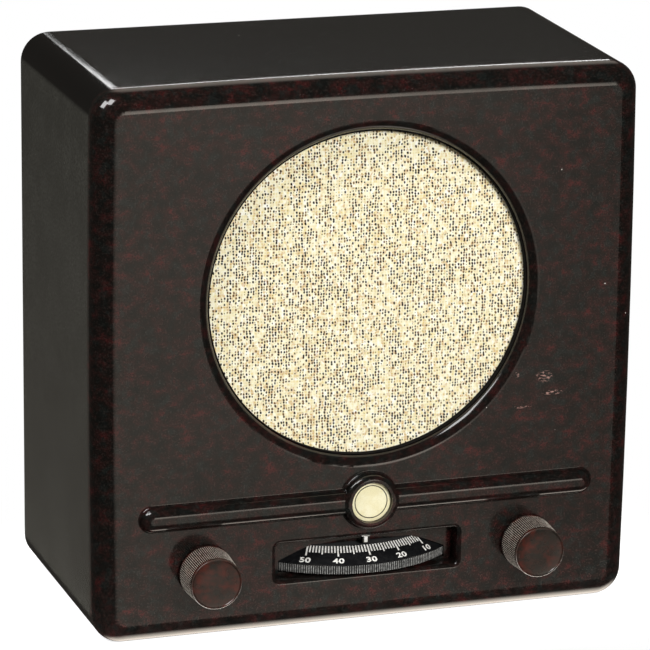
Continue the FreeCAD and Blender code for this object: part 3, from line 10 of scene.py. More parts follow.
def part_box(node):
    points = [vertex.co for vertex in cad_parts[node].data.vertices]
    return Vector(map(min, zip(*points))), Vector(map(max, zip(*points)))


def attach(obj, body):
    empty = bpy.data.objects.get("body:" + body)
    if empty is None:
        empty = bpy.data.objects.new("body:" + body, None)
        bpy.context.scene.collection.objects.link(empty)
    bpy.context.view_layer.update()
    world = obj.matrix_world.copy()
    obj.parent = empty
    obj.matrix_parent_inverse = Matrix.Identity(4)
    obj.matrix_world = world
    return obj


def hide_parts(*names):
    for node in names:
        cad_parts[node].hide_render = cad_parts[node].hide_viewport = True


# The looks of a small moulded table radio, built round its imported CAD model. Metres, +Z up, +Y back.

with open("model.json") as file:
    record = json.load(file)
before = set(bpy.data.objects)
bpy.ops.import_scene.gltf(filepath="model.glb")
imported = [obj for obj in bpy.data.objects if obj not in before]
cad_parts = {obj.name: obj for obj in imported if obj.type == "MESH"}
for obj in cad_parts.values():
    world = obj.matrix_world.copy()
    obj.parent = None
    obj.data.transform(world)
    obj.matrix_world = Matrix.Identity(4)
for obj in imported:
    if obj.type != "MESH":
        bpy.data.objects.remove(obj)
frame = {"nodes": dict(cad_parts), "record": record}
bpy.context.view_layer.update()
NODES = frame["nodes"]
MM = 0.001

# --- shader building --------------------------------------------------------------------

class Shade:
    """A Principled material and the nodes that feed it, in the object's own coordinates."""

    def __init__(self, name, **values):
        self.material = bpy.data.materials.new(name)
        self.material.use_nodes = True
        self.tree = self.material.node_tree
        self.skin = self.tree.nodes["Principled BSDF"]
        self.place = self.tree.nodes.new("ShaderNodeTexCoord").outputs["Object"]
        for socket, value in values.items():
            self.skin.inputs[socket.replace("_", " ")].default_value = value

    def node(self, kind, inputs, **settings):
        made = self.tree.nodes.new("ShaderNode" + kind)
        for key, value in settings.items():
            setattr(made, key, value)
        for key, value in inputs.items():
            self.feed(made.inputs[key], value)
        return made

    def feed(self, socket, value):
        if isinstance(value, bpy.types.NodeSocket):
            self.tree.links.new(value, socket)
        else:
            socket.default_value = value

    def stretched(self, scale):
        """The object's coordinates, scaled on each axis."""
        return self.node("Mapping", {"Vector": self.place, "Scale": scale}).outputs["Vector"]

    def noise(self, scale, detail=2.0, roughness=0.5, distortion=0.0, at=None):
        inputs = {"Vector": at or self.place, "Scale": scale, "Detail": detail, "Roughness": roughness,
                  "Distortion": distortion}
        return self.node("TexNoise", inputs).outputs["Fac"]

    def math(self, operation, first, second=0.0, clamp=False):
        return self.node("Math", {0: first, 1: second}, operation=operation, use_clamp=clamp).outputs[0]

    def between(self, value, low, high, start=0.0, end=1.0):
        """Maps a value smoothly from low..high to start..end."""
        inputs = {"Value": value, "From Min": low, "From Max": high, "To Min": start, "To Max": end}
        return self.node("MapRange", inputs, interpolation_type="SMOOTHSTEP").outputs["Result"]

    def ramp(self, value, stops):
        made = self.node("ValToRGB", {"Fac": value})
        elements = made.color_ramp.elements
        while len(elements) < len(stops):
            elements.new(0.5)
        for element, (position, colour) in zip(elements, stops):
            element.position = position
            element.color = (*colour, 1.0)
        return made.outputs["Color"]

    def mix(self, share, first, second):
        made = self.node("Mix", {}, data_type="RGBA")
        self.feed(made.inputs[0], share)
        for index, value in ((6, first), (7, second)):
            self.feed(made.inputs[index], (*value, 1.0) if isinstance(value, tuple) else value)
        return made.outputs[2]

    def axis(self, letter, source=None):
        return self.node("SeparateXYZ", {0: source or self.place}).outputs[letter]

    def bump(self, height, distance, strength=1.0):
        """Adds a layer of relief, `distance` metres high."""
        before = self.skin.inputs["Normal"]
        inputs = {"Height": height, "Distance": distance, "Strength": strength}
        if before.is_linked:
            inputs["Normal"] = before.links[0].from_socket
        made = self.node("Bump", inputs)
        self.feed(before, made.outputs["Normal"])

    def done(self, colour=None, roughness=None):
        if colour is not None:
            self.feed(self.skin.inputs["Base Color"], colour)
        if roughness is not None:
            self.feed(self.skin.inputs["Roughness"], roughness)
        return self.material


def specks(shade, scale, size, share):
    """Sparse round specks: 1 inside one, 0 elsewhere."""
    found = shade.node("TexVoronoi", {"Vector": shade.place, "Scale": scale}, feature="F1")
    dot = shade.between(found.outputs["Distance"], size * 0.6, size, 1.0, 0.0)
    chosen = shade.math("LESS_THAN", shade.axis("X", found.outputs["Color"]), share)
    return shade.math("MULTIPLY", dot, chosen)


def mottle(shade, size):
    """The pressed powder's clouds, about `size` metres across, as a value from 0 to 1."""
    at = shade.stretched((1.0, 1.0, 1.35))
    clouds = shade.noise(0.8 / size, 4.0, 0.58, 0.1, at)
    large = shade.noise(0.16 / size, 2.0, 0.5, 0.4)
    return shade.math("ADD", shade.math("MULTIPLY", clouds, 0.78), shade.math("MULTIPLY", large, 0.22))


# --- the moulded resin --------------------------------------------------------------------

GREEN_BLACK = (0.0030, 0.0036, 0.0032)
GREY_GREEN = (0.0090, 0.0125, 0.0115)
BROWN_BLACK = (0.0085, 0.0045, 0.0036)
CHESTNUT = (0.0210, 0.0066, 0.0058)
OXBLOOD = (0.0560, 0.0078, 0.0078)
CHARCOAL = (0.0290, 0.0292, 0.0245)
CHARCOAL_DUST = (0.0660, 0.0662, 0.0570)
# painted shade for the rounded edges
PAINTED_EDGE_SHADE = (0.0030, 0.0028, 0.0026)
# painted shade for the faces turned upward
PAINTED_TOP_SHADE = (0.0060, 0.0060, 0.0057)
PALE_GRAIN = (0.054, 0.042, 0.036)
DUST = (0.62, 0.59, 0.55)
RUBBED = (0.36, 0.21, 0.18)
CLOUD = 4.8 * MM                      # size of the mottle's clouds on the front
SEAM = (15.0 * MM, 18.5 * MM)         # depth at which the mottled front turns into the plain shell
FRONT_SKIN = 6.5 * MM                 # depth of the layer that the scuffs may mark


def resin_colour(shade, size):
    """The clouds' colours, with grey-green clouds and a fine pepper over them."""
    colour = shade.ramp(mottle(shade, size), [(0.38, GREEN_BLACK), (0.47, BROWN_BLACK), (0.56, CHESTNUT),
                                              (0.68, OXBLOOD)])
    green = shade.noise(1.1 / size, 3.0, 0.6)
    colour = shade.mix(shade.between(green, 0.50, 0.66, 0.0, 0.75), colour, GREY_GREEN)
    pepper = shade.noise(1300.0, 2.0, 0.6)
    colour = shade.mix(shade.between(pepper, 0.50, 0.68, 0.0, 0.85), colour, GREEN_BLACK)
    return shade.mix(shade.between(pepper, 0.48, 0.30, 0.0, 0.35), colour, PALE_GRAIN)


def bakelite():
    """Mottled in front, dusty charcoal on the flat sides, glossy round the edges; painted shade darkens the
    top and every rounded edge.
    """
    shade = Shade("bakelite_shell", Specular_IOR_Level=0.5)
    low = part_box("cabinet")[0]
    y = shade.axis("Y")
    behind = shade.between(y, low.y + SEAM[0], low.y + SEAM[1])
    front = resin_colour(shade, CLOUD)
    grain = shade.noise(900.0, 3.0, 0.6)
    haze = shade.noise(45.0, 4.0, 0.65)
    film = shade.math("MULTIPLY", shade.between(grain, 0.35, 0.65), shade.between(haze, 0.3, 0.7, 0.3, 1.0))
    side = shade.mix(film, CHARCOAL, CHARCOAL_DUST)
    # painted shade: faces turned upward are darkened towards near-black
    side = shade.mix(shade.between(facing(shade, "Z"), 0.3, 0.9, 0.0, 0.90), side, PAINTED_TOP_SHADE)
    flat = flatness(shade)
    # painted shade: the rounded edges are darkened to near-black behind the front, and partly on the front
    side = shade.mix(flat, PAINTED_EDGE_SHADE, side)
    front = shade.mix(shade.between(flat, 0.0, 1.0, 0.42, 0.0), front, PAINTED_EDGE_SHADE)
    colour = shade.mix(behind, front, side)
    dust = specks(shade, 95.0, 0.034, 0.13)
    colour = shade.mix(shade.math("MULTIPLY", dust, 0.9), colour, DUST)
    worn = scuffs(shade)
    colour = shade.mix(worn, colour, RUBBED)
    smudge = shade.noise(28.0, 3.0, 0.6)
    gloss = shade.between(smudge, 0.35, 0.70, 0.11, 0.18)
    duller = shade.math("MULTIPLY", behind, flat)
    rough = shade.node("Mix", {0: duller, 2: gloss, 3: shade.between(grain, 0.3, 0.7, 0.06, 0.10)}).outputs[0]
    rough = shade.math("ADD", rough, shade.math("MULTIPLY", worn, 0.4))
    shade.bump(shade.noise(75.0, 2.0, 0.5), 0.00006, 0.5)
    shade.bump(shade.math("MULTIPLY", grain, duller), 0.00005, 0.8)
    shade.bump(shade.math("ADD", dust, worn), 0.00008, 0.5)
    return shade.done(colour, rough)


def facing(shade, letter):
    """How far the surface faces along an axis of the object."""
    return shade.axis(letter, shade.node("TexCoord", {}).outputs["Normal"])


def flatness(shade):
    """1 on the flat faces and 0 on every rounded edge."""
    sizes = [shade.math("ABSOLUTE", facing(shade, letter)) for letter in "XYZ"]
    most = shade.math("MAXIMUM", shade.math("MAXIMUM", sizes[0], sizes[1]), sizes[2])
    return shade.between(most, 0.985, 0.9995)


SCUFF_PLACES = (
    # x and z of the middle, half length and half height, in metres
    (0.0790, 0.1045, 0.0046, 0.0030),
    (0.0835, 0.0970, 0.0060, 0.0012),
    (0.0665, 0.1060, 0.0012, 0.0018),
    (0.0690, 0.0915, 0.0050, 0.0006),
)


def scuffs(shade):
    """Rubbed marks in the front face: broken streaks inside a few small ovals."""
    streaks = shade.noise(1500.0, 2.0, 0.6, 0.0, shade.stretched((0.35, 1.0, 1.0)))
    broken = shade.between(streaks, 0.52, 0.60)
    x, z = shade.axis("X"), shade.axis("Z")
    front = shade.math("LESS_THAN", shade.axis("Y"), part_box("cabinet")[0].y + FRONT_SKIN)
    total = 0.0
    for place_x, place_z, half_x, half_z in SCUFF_PLACES:
        across = shade.math("DIVIDE", shade.math("SUBTRACT", x, place_x), half_x)
        along = shade.math("DIVIDE", shade.math("SUBTRACT", z, place_z), half_z)
        away = shade.math("ADD", shade.math("MULTIPLY", across, across), shade.math("MULTIPLY", along, along))
        total = shade.math("ADD", shade.between(away, 0.2, 1.0, 1.0, 0.0), total)
    return shade.math("MULTIPLY", shade.math("MULTIPLY", total, broken), front, True)


def knob_resin():
    """The same resin in a browner batch, with smaller clouds."""
    shade = Shade("bakelite_knob", Specular_IOR_Level=0.5)
    colour = shade.ramp(mottle(shade, 4.2 * MM), [(0.38, (0.0150, 0.0125, 0.0100)),
                                                  (0.50, (0.0240, 0.0125, 0.0095)),
                                                  (0.66, (0.0640, 0.0130, 0.0085))])
    grain = shade.noise(700.0, 2.0, 0.5)
    shade.bump(grain, 0.00003, 0.6)
    return shade.done(colour, shade.between(shade.noise(160.0, 2.0), 0.35, 0.65, 0.17, 0.28))


def worn_edge():
    """The knobs' front edges with a painted highlight: pale along the bottom and hardly at the top."""
    shade = Shade("worn_edge", Specular_IOR_Level=0.5)
    low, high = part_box("left_knob")
    # painted highlight: pale towards the bottom of the knob, fading out above its middle
    rubbed = shade.between(shade.axis("Z"), low.z + 1.5 * MM, (low.z + high.z) / 2 + 2.0 * MM, 1.0, 0.0)
    broken = shade.between(shade.noise(420.0, 3.0, 0.6), 0.35, 0.60, 0.45, 1.0)
    colour = shade.mix(shade.math("MULTIPLY", rubbed, broken), (0.045, 0.030, 0.024), (0.90, 0.86, 0.80))
    shade.bump(shade.noise(900.0, 2.0), 0.00002, 0.5)
    return shade.done(colour, shade.between(broken, 0.45, 1.0, 0.18, 0.30))


def dial_black():
    """The tuning disc's glossy black, with a little dust."""
    shade = Shade("dial_black", Specular_IOR_Level=0.5)
    grain = shade.noise(600.0, 3.0, 0.6)
    colour = shade.mix(shade.between(grain, 0.4, 0.7), (0.0060, 0.0062, 0.0068), (0.0105, 0.0108, 0.0112))
    dust = specks(shade, 260.0, 0.05, 0.05)
    colour = shade.mix(shade.math("MULTIPLY", dust, 0.5), colour, (0.35, 0.34, 0.32))
    shade.bump(grain, 0.00003, 0.5)
    return shade.done(colour, shade.between(shade.noise(90.0, 2.0), 0.35, 0.65, 0.20, 0.30))


def dial_flat():
    """The disc's flat middle, dulled to grey by dust and fingers."""
    shade = Shade("dial_flat", Specular_IOR_Level=0.4)
    haze = shade.noise(140.0, 4.0, 0.6)
    colour = shade.mix(shade.between(haze, 0.3, 0.7), (0.030, 0.030, 0.031), (0.048, 0.048, 0.048))
    shade.bump(shade.noise(900.0, 2.0), 0.00003, 0.6)
    return shade.done(colour, shade.between(haze, 0.3, 0.7, 0.45, 0.6))


def white_paint():
    """Thin off-white paint, yellowed where it is chipped."""
    shade = Shade("scale_paint")
    chips = shade.noise(1300.0, 3.0, 0.6)
    colour = shade.mix(shade.between(chips, 0.30, 0.62), (0.60, 0.58, 0.52), (0.90, 0.89, 0.85))
    shade.bump(chips, 0.00002, 0.6)
    return shade.done(colour, shade.between(chips, 0.3, 0.7, 0.35, 0.5))


def ivory():
    """Cream plastic with brown pinpricks."""
    shade = Shade("ivory_disc", Specular_IOR_Level=0.5)
    haze = shade.noise(230.0, 4.0, 0.6)
    fine = shade.noise(1600.0, 2.0, 0.5)
    colour = shade.mix(shade.between(haze, 0.35, 0.70), (0.86, 0.79, 0.49), (0.93, 0.88, 0.62))
    colour = shade.mix(shade.between(fine, 0.66, 0.74, 0.0, 0.55), colour, (0.45, 0.33, 0.16))
    shade.bump(haze, 0.00004, 0.5)
    return shade.done(colour, shade.between(fine, 0.3, 0.7, 0.22, 0.38))


def engraved():
    """Dirt in a turned line."""
    shade = Shade("engraved_line")
    fine = shade.noise(900.0, 3.0, 0.6)
    colour = shade.mix(shade.between(fine, 0.35, 0.7), (0.020, 0.017, 0.012), (0.055, 0.045, 0.030))
    return shade.done(colour, shade.between(fine, 0.3, 0.7, 0.5, 0.7))


THREAD = 1.25 * MM                    # pitch of the speaker cloth's threads


def gap_between_threads(shade, across, along, luck, jumps):
    """1 in the hole between four threads: its place and size differ from hole to hole."""
    runs = shade.noise(420.0, 2.0, 0.5, 0.0, shade.stretched((1.0, 1.0, 0.16)))
    want = shade.math("ADD", shade.math("MULTIPLY", luck, 0.55), shade.math("MULTIPLY", runs, 0.85))
    share = shade.between(want, 0.52, 0.94)
    reach = []
    for value, jump, small, large in ((across, jumps[0], 0.12, 0.32), (along, jumps[1], 0.16, 0.46)):
        offset = shade.math("MULTIPLY", shade.math("SUBTRACT", jump, 0.5), 0.42)
        inside = shade.math("SUBTRACT", shade.math("FRACT", value), 0.5)
        half = shade.between(share, 0.0, 1.0, small, large)
        ratio = shade.math("DIVIDE", shade.math("SUBTRACT", inside, offset), half)
        reach.append(shade.math("MULTIPLY", ratio, ratio))
    away = shade.math("ADD", *reach)
    hole = shade.between(away, 0.55, 1.45, 1.0, 0.0)
    return shade.math("MULTIPLY", hole, shade.between(share, 0.0, 0.35), True)


def cloth():
    """Plain-woven cream linen: knotty threads with small dark gaps between them."""
    shade = Shade("linen", Specular_IOR_Level=0.2)
    shade.skin.inputs["Sheen Weight"].default_value = 0.15
    wander = shade.noise(160.0, 2.0, 0.5)
    shift = shade.math("MULTIPLY", shade.math("SUBTRACT", wander, 0.5), 0.0014)
    across = shade.math("DIVIDE", shade.math("ADD", shade.axis("X"), shift), THREAD)
    along = shade.math("DIVIDE", shade.math("SUBTRACT", shade.axis("Z"), shift), THREAD)
    wave_x = shade.math("ABSOLUTE", shade.math("SINE", shade.math("MULTIPLY", across, math.pi)))
    wave_z = shade.math("ABSOLUTE", shade.math("SINE", shade.math("MULTIPLY", along, math.pi)))
    corner = shade.math("MULTIPLY", wave_x, wave_z)
    cell = shade.node("CombineXYZ", {0: shade.math("FLOOR", across), 2: shade.math("FLOOR", along)})
    chance = shade.node("TexWhiteNoise", {"Vector": cell.outputs[0]})
    luck = chance.outputs["Value"]
    chances = chance.outputs["Color"]
    jumps = [shade.axis(letter, chances) for letter in "XYZ"]
    gap = gap_between_threads(shade, across, along, luck, jumps)

    knots = shade.noise(520.0, 3.0, 0.6, 0.0, shade.stretched((1.0, 1.0, 0.6)))
    cream = shade.ramp(knots, [(0.30, (0.72, 0.60, 0.30)), (0.44, (0.86, 0.78, 0.48)),
                               (0.56, (0.92, 0.88, 0.66)), (0.66, (0.97, 0.95, 0.88))])
    flecks = shade.noise(640.0, 2.0, 0.5, 0.0, shade.stretched((1.0, 1.0, 0.7)))
    cream = shade.mix(shade.between(flecks, 0.54, 0.66, 0.0, 0.85), cream, (0.62, 0.40, 0.12))
    tint = shade.between(shade.math("FRACT", shade.math("MULTIPLY", luck, 37.0)), 0.72, 0.95, 0.0, 0.55)
    cream = shade.mix(tint, cream, (0.80, 0.66, 0.26))
    # painted highlight: the threads' crowns are painted paler
    pale = shade.math("MULTIPLY", shade.between(corner, 0.0, 0.7, 1.0, 0.0), 0.35)
    cream = shade.mix(pale, cream, (0.96, 0.94, 0.87))
    # painted shade: the gaps between the threads are brown to near-black, for the unlit inside behind the
    # cloth
    hollow = shade.mix(shade.between(jumps[2], 0.20, 0.40), (0.16, 0.085, 0.025), (0.008, 0.005, 0.002))
    colour = shade.mix(gap, cream, hollow)
    fibre = shade.noise(4200.0, 2.0, 0.6, 0.0, shade.stretched((1.0, 1.0, 0.3)))
    shade.bump(corner, 0.00022, -0.8)
    shade.bump(fibre, 0.00006, 0.7)
    return shade.done(colour, shade.between(fibre, 0.3, 0.7, 0.75, 0.95))


# --- what is inside and behind --------------------------------------------------------------

def two_tone(name, first, second, scale, rough, metallic=0.0, relief=0.00005, detail=3.0,
             stretch=(1.0, 1.0, 1.0), **values):
    """A material whose colour and roughness wander between two values, with fine relief."""
    shade = Shade(name, Metallic=metallic, **values)
    value = shade.noise(scale, detail, 0.6, 0.0, shade.stretched(stretch))
    share = shade.between(value, 0.32, 0.68)
    shade.bump(shade.noise(scale * 3.0, detail, 0.6, 0.0, shade.stretched(stretch)), relief, 0.7)
    return shade, shade.mix(share, first, second), shade.between(value, 0.3, 0.7, *rough)


def plain(name, *args, **kwargs):
    shade, colour, rough = two_tone(name, *args, **kwargs)
    return shade.done(colour, rough)


def worn_metal(name, first, second, scale, rough, tarnish, **kwargs):
    """Bare metal with brushed relief and tarnished patches."""
    shade, colour, rough = two_tone(name, first, second, scale, rough, 1.0, **kwargs)
    patches = shade.between(shade.noise(90.0, 4.0, 0.65), 0.56, 0.72)
    return shade.done(shade.mix(patches, colour, tarnish), rough)


def wound_copper():
    """Enamelled wire, turn beside turn."""
    shade = Shade("enamelled_wire", Metallic=0.85)
    turns = shade.node("TexWave", {"Vector": shade.place, "Scale": 620.0, "Distortion": 0.3},
                       wave_type="BANDS", bands_direction="Z").outputs["Fac"]
    hue = shade.noise(60.0, 3.0)
    colour = shade.mix(shade.between(hue, 0.35, 0.65), (0.38, 0.12, 0.045), (0.60, 0.24, 0.09))
    shade.bump(turns, 0.00025)
    # painted shade: the creases between the turns are darkened
    return shade.done(shade.mix(shade.between(turns, 0.0, 0.35, 0.7, 0.0), colour, (0.05, 0.015, 0.008)),
                      shade.between(hue, 0.3, 0.7, 0.25, 0.4))


def banded_resistor():
    """Dark lacquered rods with a coloured end and a coloured dot."""
    shade = Shade("resistor_lacquer")
    turn = shade.math("FRACT", shade.math("DIVIDE", shade.axis("X"), 0.017))
    bands = shade.ramp(turn, [(0.0, (0.03, 0.02, 0.018)), (0.20, (0.45, 0.06, 0.03)),
                              (0.30, (0.03, 0.02, 0.018)), (0.62, (0.55, 0.36, 0.05))])
    bands.node.color_ramp.interpolation = "CONSTANT"
    fine = shade.noise(900.0, 3.0)
    shade.bump(fine, 0.00005, 0.6)
    return shade.done(shade.mix(shade.between(fine, 0.45, 0.75, 0.0, 0.4), bands, (0.08, 0.07, 0.06)),
                      shade.between(fine, 0.3, 0.7, 0.3, 0.5))


def cover_board():
    """Brown pressed fibreboard with short pale and dark fibres and rubbed patches."""
    shade = Shade("pressed_board", Specular_IOR_Level=0.3)
    fibres = shade.noise(420.0, 4.0, 0.7, 1.2, shade.stretched((1.0, 1.0, 0.4)))
    patches = shade.noise(22.0, 3.0, 0.6)
    colour = shade.ramp(fibres, [(0.30, (0.055, 0.030, 0.016)), (0.50, (0.105, 0.058, 0.030)),
                                 (0.70, (0.175, 0.108, 0.060))])
    colour = shade.mix(shade.between(patches, 0.50, 0.72, 0.0, 0.35), colour, (0.050, 0.030, 0.018))
    dust = specks(shade, 150.0, 0.06, 0.08)
    colour = shade.mix(shade.math("MULTIPLY", dust, 0.5), colour, (0.40, 0.34, 0.26))
    shade.bump(fibres, 0.00012, 0.8)
    shade.bump(shade.noise(2400.0, 2.0), 0.00005, 0.6)
    return shade.done(colour, shade.between(patches, 0.3, 0.7, 0.58, 0.80))


def clear_glass():
    """Clear glass, hazed in patches."""
    shade = Shade("valve_glass", Transmission_Weight=0.92, IOR=1.47)
    haze = shade.noise(60.0, 3.0)
    shade.bump(haze, 0.00008, 0.4)
    colour = shade.mix(shade.between(haze, 0.4, 0.7), (0.90, 0.94, 0.92), (0.80, 0.84, 0.80))
    return shade.done(colour, shade.between(haze, 0.3, 0.7, 0.02, 0.09))


FINISH = {
    "bakelite": bakelite(),
    "knob_resin": knob_resin(),
    "dial_black": dial_black(),
    "ivory": ivory(),
    "pointer": plain("pointer_enamel", (0.012, 0.011, 0.010), (0.030, 0.024, 0.020), 500.0, (0.20, 0.35)),
    "cloth": cloth(),
    "baffle": plain("baffle_ply", (0.020, 0.015, 0.012), (0.055, 0.038, 0.025), 160.0, (0.7, 0.9),
                    stretch=(0.2, 1.0, 1.0), relief=0.0001),
    "paper": plain("cone_card", (0.030, 0.028, 0.025), (0.070, 0.062, 0.052), 420.0, (0.8, 0.95),
                   relief=0.00015, detail=5.0),
    "chassis": plain("laminate", (0.110, 0.048, 0.020), (0.190, 0.090, 0.036), 150.0, (0.30, 0.48),
                     stretch=(1.0, 0.3, 1.0)),
    "steel": worn_metal("bright_steel", (0.50, 0.50, 0.50), (0.68, 0.67, 0.65), 600.0, (0.22, 0.42),
                        (0.16, 0.12, 0.09), relief=0.00003),
    "iron": worn_metal("pressed_iron", (0.24, 0.24, 0.25), (0.36, 0.35, 0.34), 300.0, (0.40, 0.62),
                       (0.13, 0.065, 0.035), relief=0.00008),
    "aluminium": worn_metal("aluminium", (0.70, 0.71, 0.72), (0.84, 0.84, 0.84), 700.0, (0.28, 0.45),
                            (0.52, 0.51, 0.49), stretch=(0.15, 1.0, 1.0)),
    "brass": worn_metal("brass", (0.60, 0.40, 0.13), (0.76, 0.55, 0.22), 500.0, (0.22, 0.40),
                        (0.23, 0.14, 0.06)),
    "copper_coil": wound_copper(),
    "glass": clear_glass(),
    "valve_base": plain("valve_base_resin", (0.020, 0.012, 0.009), (0.050, 0.024, 0.016), 260.0,
                        (0.22, 0.36)),
    "electrodes": worn_metal("blackened_nickel", (0.10, 0.10, 0.10), (0.22, 0.22, 0.22), 800.0, (0.40, 0.60),
                             (0.05, 0.05, 0.05)),
    "wax_paper": plain("waxed_paper", (0.36, 0.25, 0.10), (0.56, 0.43, 0.21), 200.0, (0.35, 0.55),
                       stretch=(0.3, 1.0, 1.0)),
    "can": worn_metal("drawn_can", (0.55, 0.56, 0.57), (0.70, 0.70, 0.71), 350.0, (0.30, 0.50),
                      (0.34, 0.32, 0.29), stretch=(1.0, 1.0, 0.15)),
    "ceramic": plain("glazed_tube", (0.20, 0.30, 0.22), (0.32, 0.42, 0.32), 240.0, (0.25, 0.45)),
    "resistor": banded_resistor(),
    "cover": cover_board(),
    "rubber": plain("grommet_rubber", (0.012, 0.012, 0.012), (0.032, 0.031, 0.030), 420.0, (0.60, 0.85),
                    relief=0.00008),
}
FLAT_BLACK = dial_flat()
# painted highlight: the knobs' flute ridges are painted pale in place of glints
PAINTED_FLUTE_HIGHLIGHT = plain("painted_flute_highlight", (0.26, 0.24, 0.20), (0.62, 0.57, 0.50), 900.0, (0.25, 0.45))
PAINTED_EDGE_HIGHLIGHT = worn_edge()
# pale ridges for the tuning disc's notched rim
PALE_RIM_RIDGES = plain("pale_rim_ridges", (0.085, 0.085, 0.081), (0.290, 0.290, 0.277), 900.0, (0.28, 0.45))
WHITE = white_paint()
LINE = engraved()

slot_of = {part["node"]: part["material_slot"] for part in frame["record"]["subparts"]}
for node, obj in NODES.items():
    for holder in obj.material_slots:
        holder.material = FINISH[slot_of[node]]


# --- mesh building ----------------------------------------------------------------------------

def make_object(name, points, faces, materials, sharp=32.0, face_material=None):
    """A mesh object with merged points, outward normals and edges kept sharp above an angle."""
    mesh = bpy.data.meshes.new(name)
    mesh.from_pydata([tuple(point) for point in points], [], faces)
    if face_material:
        mesh.polygons.foreach_set("material_index", face_material)
    for material in materials:
        mesh.materials.append(material)
    work = bmesh.new()
    work.from_mesh(mesh)
    bmesh.ops.remove_doubles(work, verts=work.verts, dist=1e-6)
    bmesh.ops.dissolve_degenerate(work, edges=work.edges, dist=1e-7)
    bmesh.ops.recalc_face_normals(work, faces=work.faces)
    work.to_mesh(mesh)
    work.free()
    mesh.polygons.foreach_set("use_smooth", [True] * len(mesh.polygons))
    mesh.set_sharp_from_angle(angle=math.radians(sharp))
    obj = bpy.data.objects.new(name, mesh)
    bpy.context.scene.collection.objects.link(obj)
    return obj


def stand_in(obj, slot, body, *nodes):
    """Hides the CAD parts that a new piece stands for and attaches the piece to the body that it moves with.
    Its finish, `slot`, is not used.
    """
    if nodes:
        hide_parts(*nodes)
    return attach(obj, body)


def lathe(profile, steps, place, groove=None, worn=None):
    """Points and faces of a turned shape. profile: (radius, height, groove depth, material).
    `worn` is the material of the ridges between the grooves; on the knobs it is a painted highlight."""
    points = []
    faces = []
    paint = []
    count = len(profile)
    for step in range(steps):
        angle = 2 * math.pi * step / steps
        dip = groove(angle) if groove else 0.0
        for radius, height, depth, _ in profile:
            reach = radius - depth * dip
            points.append(place(reach * math.cos(angle), reach * math.sin(angle), height))
    for step in range(steps):
        here = step * count
        after = (step + 1) % steps * count
        for row in range(count - 1):
            if profile[row][0] == 0 and profile[row + 1][0] == 0:
                continue
            faces.append((here + row, here + row + 1, after + row + 1, after + row))
            ridge = worn and profile[row][2] and groove(2 * math.pi * (step + 0.5) / steps) < 0.25
            paint.append(worn if ridge else profile[row][3])
    return points, faces, paint


def facing_front(centre):
    """Places a turned shape on an axis that points to the front."""
    return lambda across, up, out: Vector((centre.x + across, centre.y - out, centre.z + up))


def upright(centre):
    return lambda across, deep, up: Vector((centre.x + across, centre.y + deep, centre.z + up))


def flutes(number):
    """0 on the lands and 1 in the valleys, `number` times round."""
    return lambda angle: (0.5 - 0.5 * math.cos(number * angle)) ** 0.8


# --- knobs ------------------------------------------------------------------------------------

KNOB_FLUTES = 86
FLUTE_DEPTH = 0.40 * MM
FLUTE_STEPS = 8
CAP_INSET = 0.85 * MM                 # the knob's taper over its length
SEAM_DEPTH = 1.45 * MM                # the turned line behind the cap
HIGHLIT_EDGE = (0.0, 0.2)              # the part of the cap's edge that carries the painted highlight, inwards in mm
CAP_EDGE = ((0.0, 0.55), (0.04, 0.34), (0.13, 0.15), (0.26, 0.03), (0.40, 0.0), (0.52, 0.0), (0.66, 0.05),
            (0.78, 0.16), (0.86, 0.30), (0.95, 0.40), (1.15, 0.43))     # inwards and down, in mm


def knob(node, body):
    """A tapered knob: fluted wall, turned line, softened cap and a recess at the back."""
    low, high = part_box(node)
    base = (high.x - low.x) / 2
    length = high.y - low.y
    cap = base - CAP_INSET
    taper = (base - cap) / length
    hub = 3.0 * MM
    recess = base - 2.5 * MM
    depth = 4.0 * MM

    def wall(height):
        return base - taper * height

    rows = [(hub, depth), (recess, depth), (recess, 0.0), (base - 0.35 * MM, 0.0), (base, 0.3 * MM),
            (wall(0.9 * MM), 0.9 * MM)]
    profile = [(radius, height, 0.0, 0) for radius, height in rows]
    start, stop = 1.15 * MM, length - 1.75 * MM
    for share in range(9):
        height = start + (stop - start) * share / 8
        profile.append((wall(height), height, FLUTE_DEPTH, 0))
    seam = length - SEAM_DEPTH
    floor = wall(seam) - 0.45 * MM
    profile += [(wall(seam), seam, 0.0, 0), (floor, seam + 0.06 * MM, 0.0, 0),
                (floor, seam + 0.34 * MM, 0.0, 0), (cap, seam + 0.42 * MM, 0.0, 0)]
    for inward, down in CAP_EDGE:
        # rows in this part of the edge take the painted highlight
        rubbed = HIGHLIT_EDGE[0] < inward < HIGHLIT_EDGE[1]
        profile.append((cap - inward * MM, length - down * MM, 0.0, 2 if rubbed else 0))
    profile += [(cap * 0.5, length - 0.40 * MM, 0.0, 0), (0.0, length - 0.38 * MM, 0.0, 0)]
    centre = Vector(((low.x + high.x) / 2, high.y, (low.z + high.z) / 2))
    points, faces, paint = lathe(profile, KNOB_FLUTES * FLUTE_STEPS, facing_front(centre),
                                 flutes(KNOB_FLUTES), 1)
    materials = [FINISH["knob_resin"], PAINTED_FLUTE_HIGHLIGHT, PAINTED_EDGE_HIGHLIGHT]
    obj = make_object("fluted_" + node, points, faces, materials, 38.0, paint)
    return stand_in(obj, "knob_resin", body, node)


knob("left_knob", "coupler")
knob("right_knob", "reaction")


# --- tuning disc --------------------------------------------------------------------------------

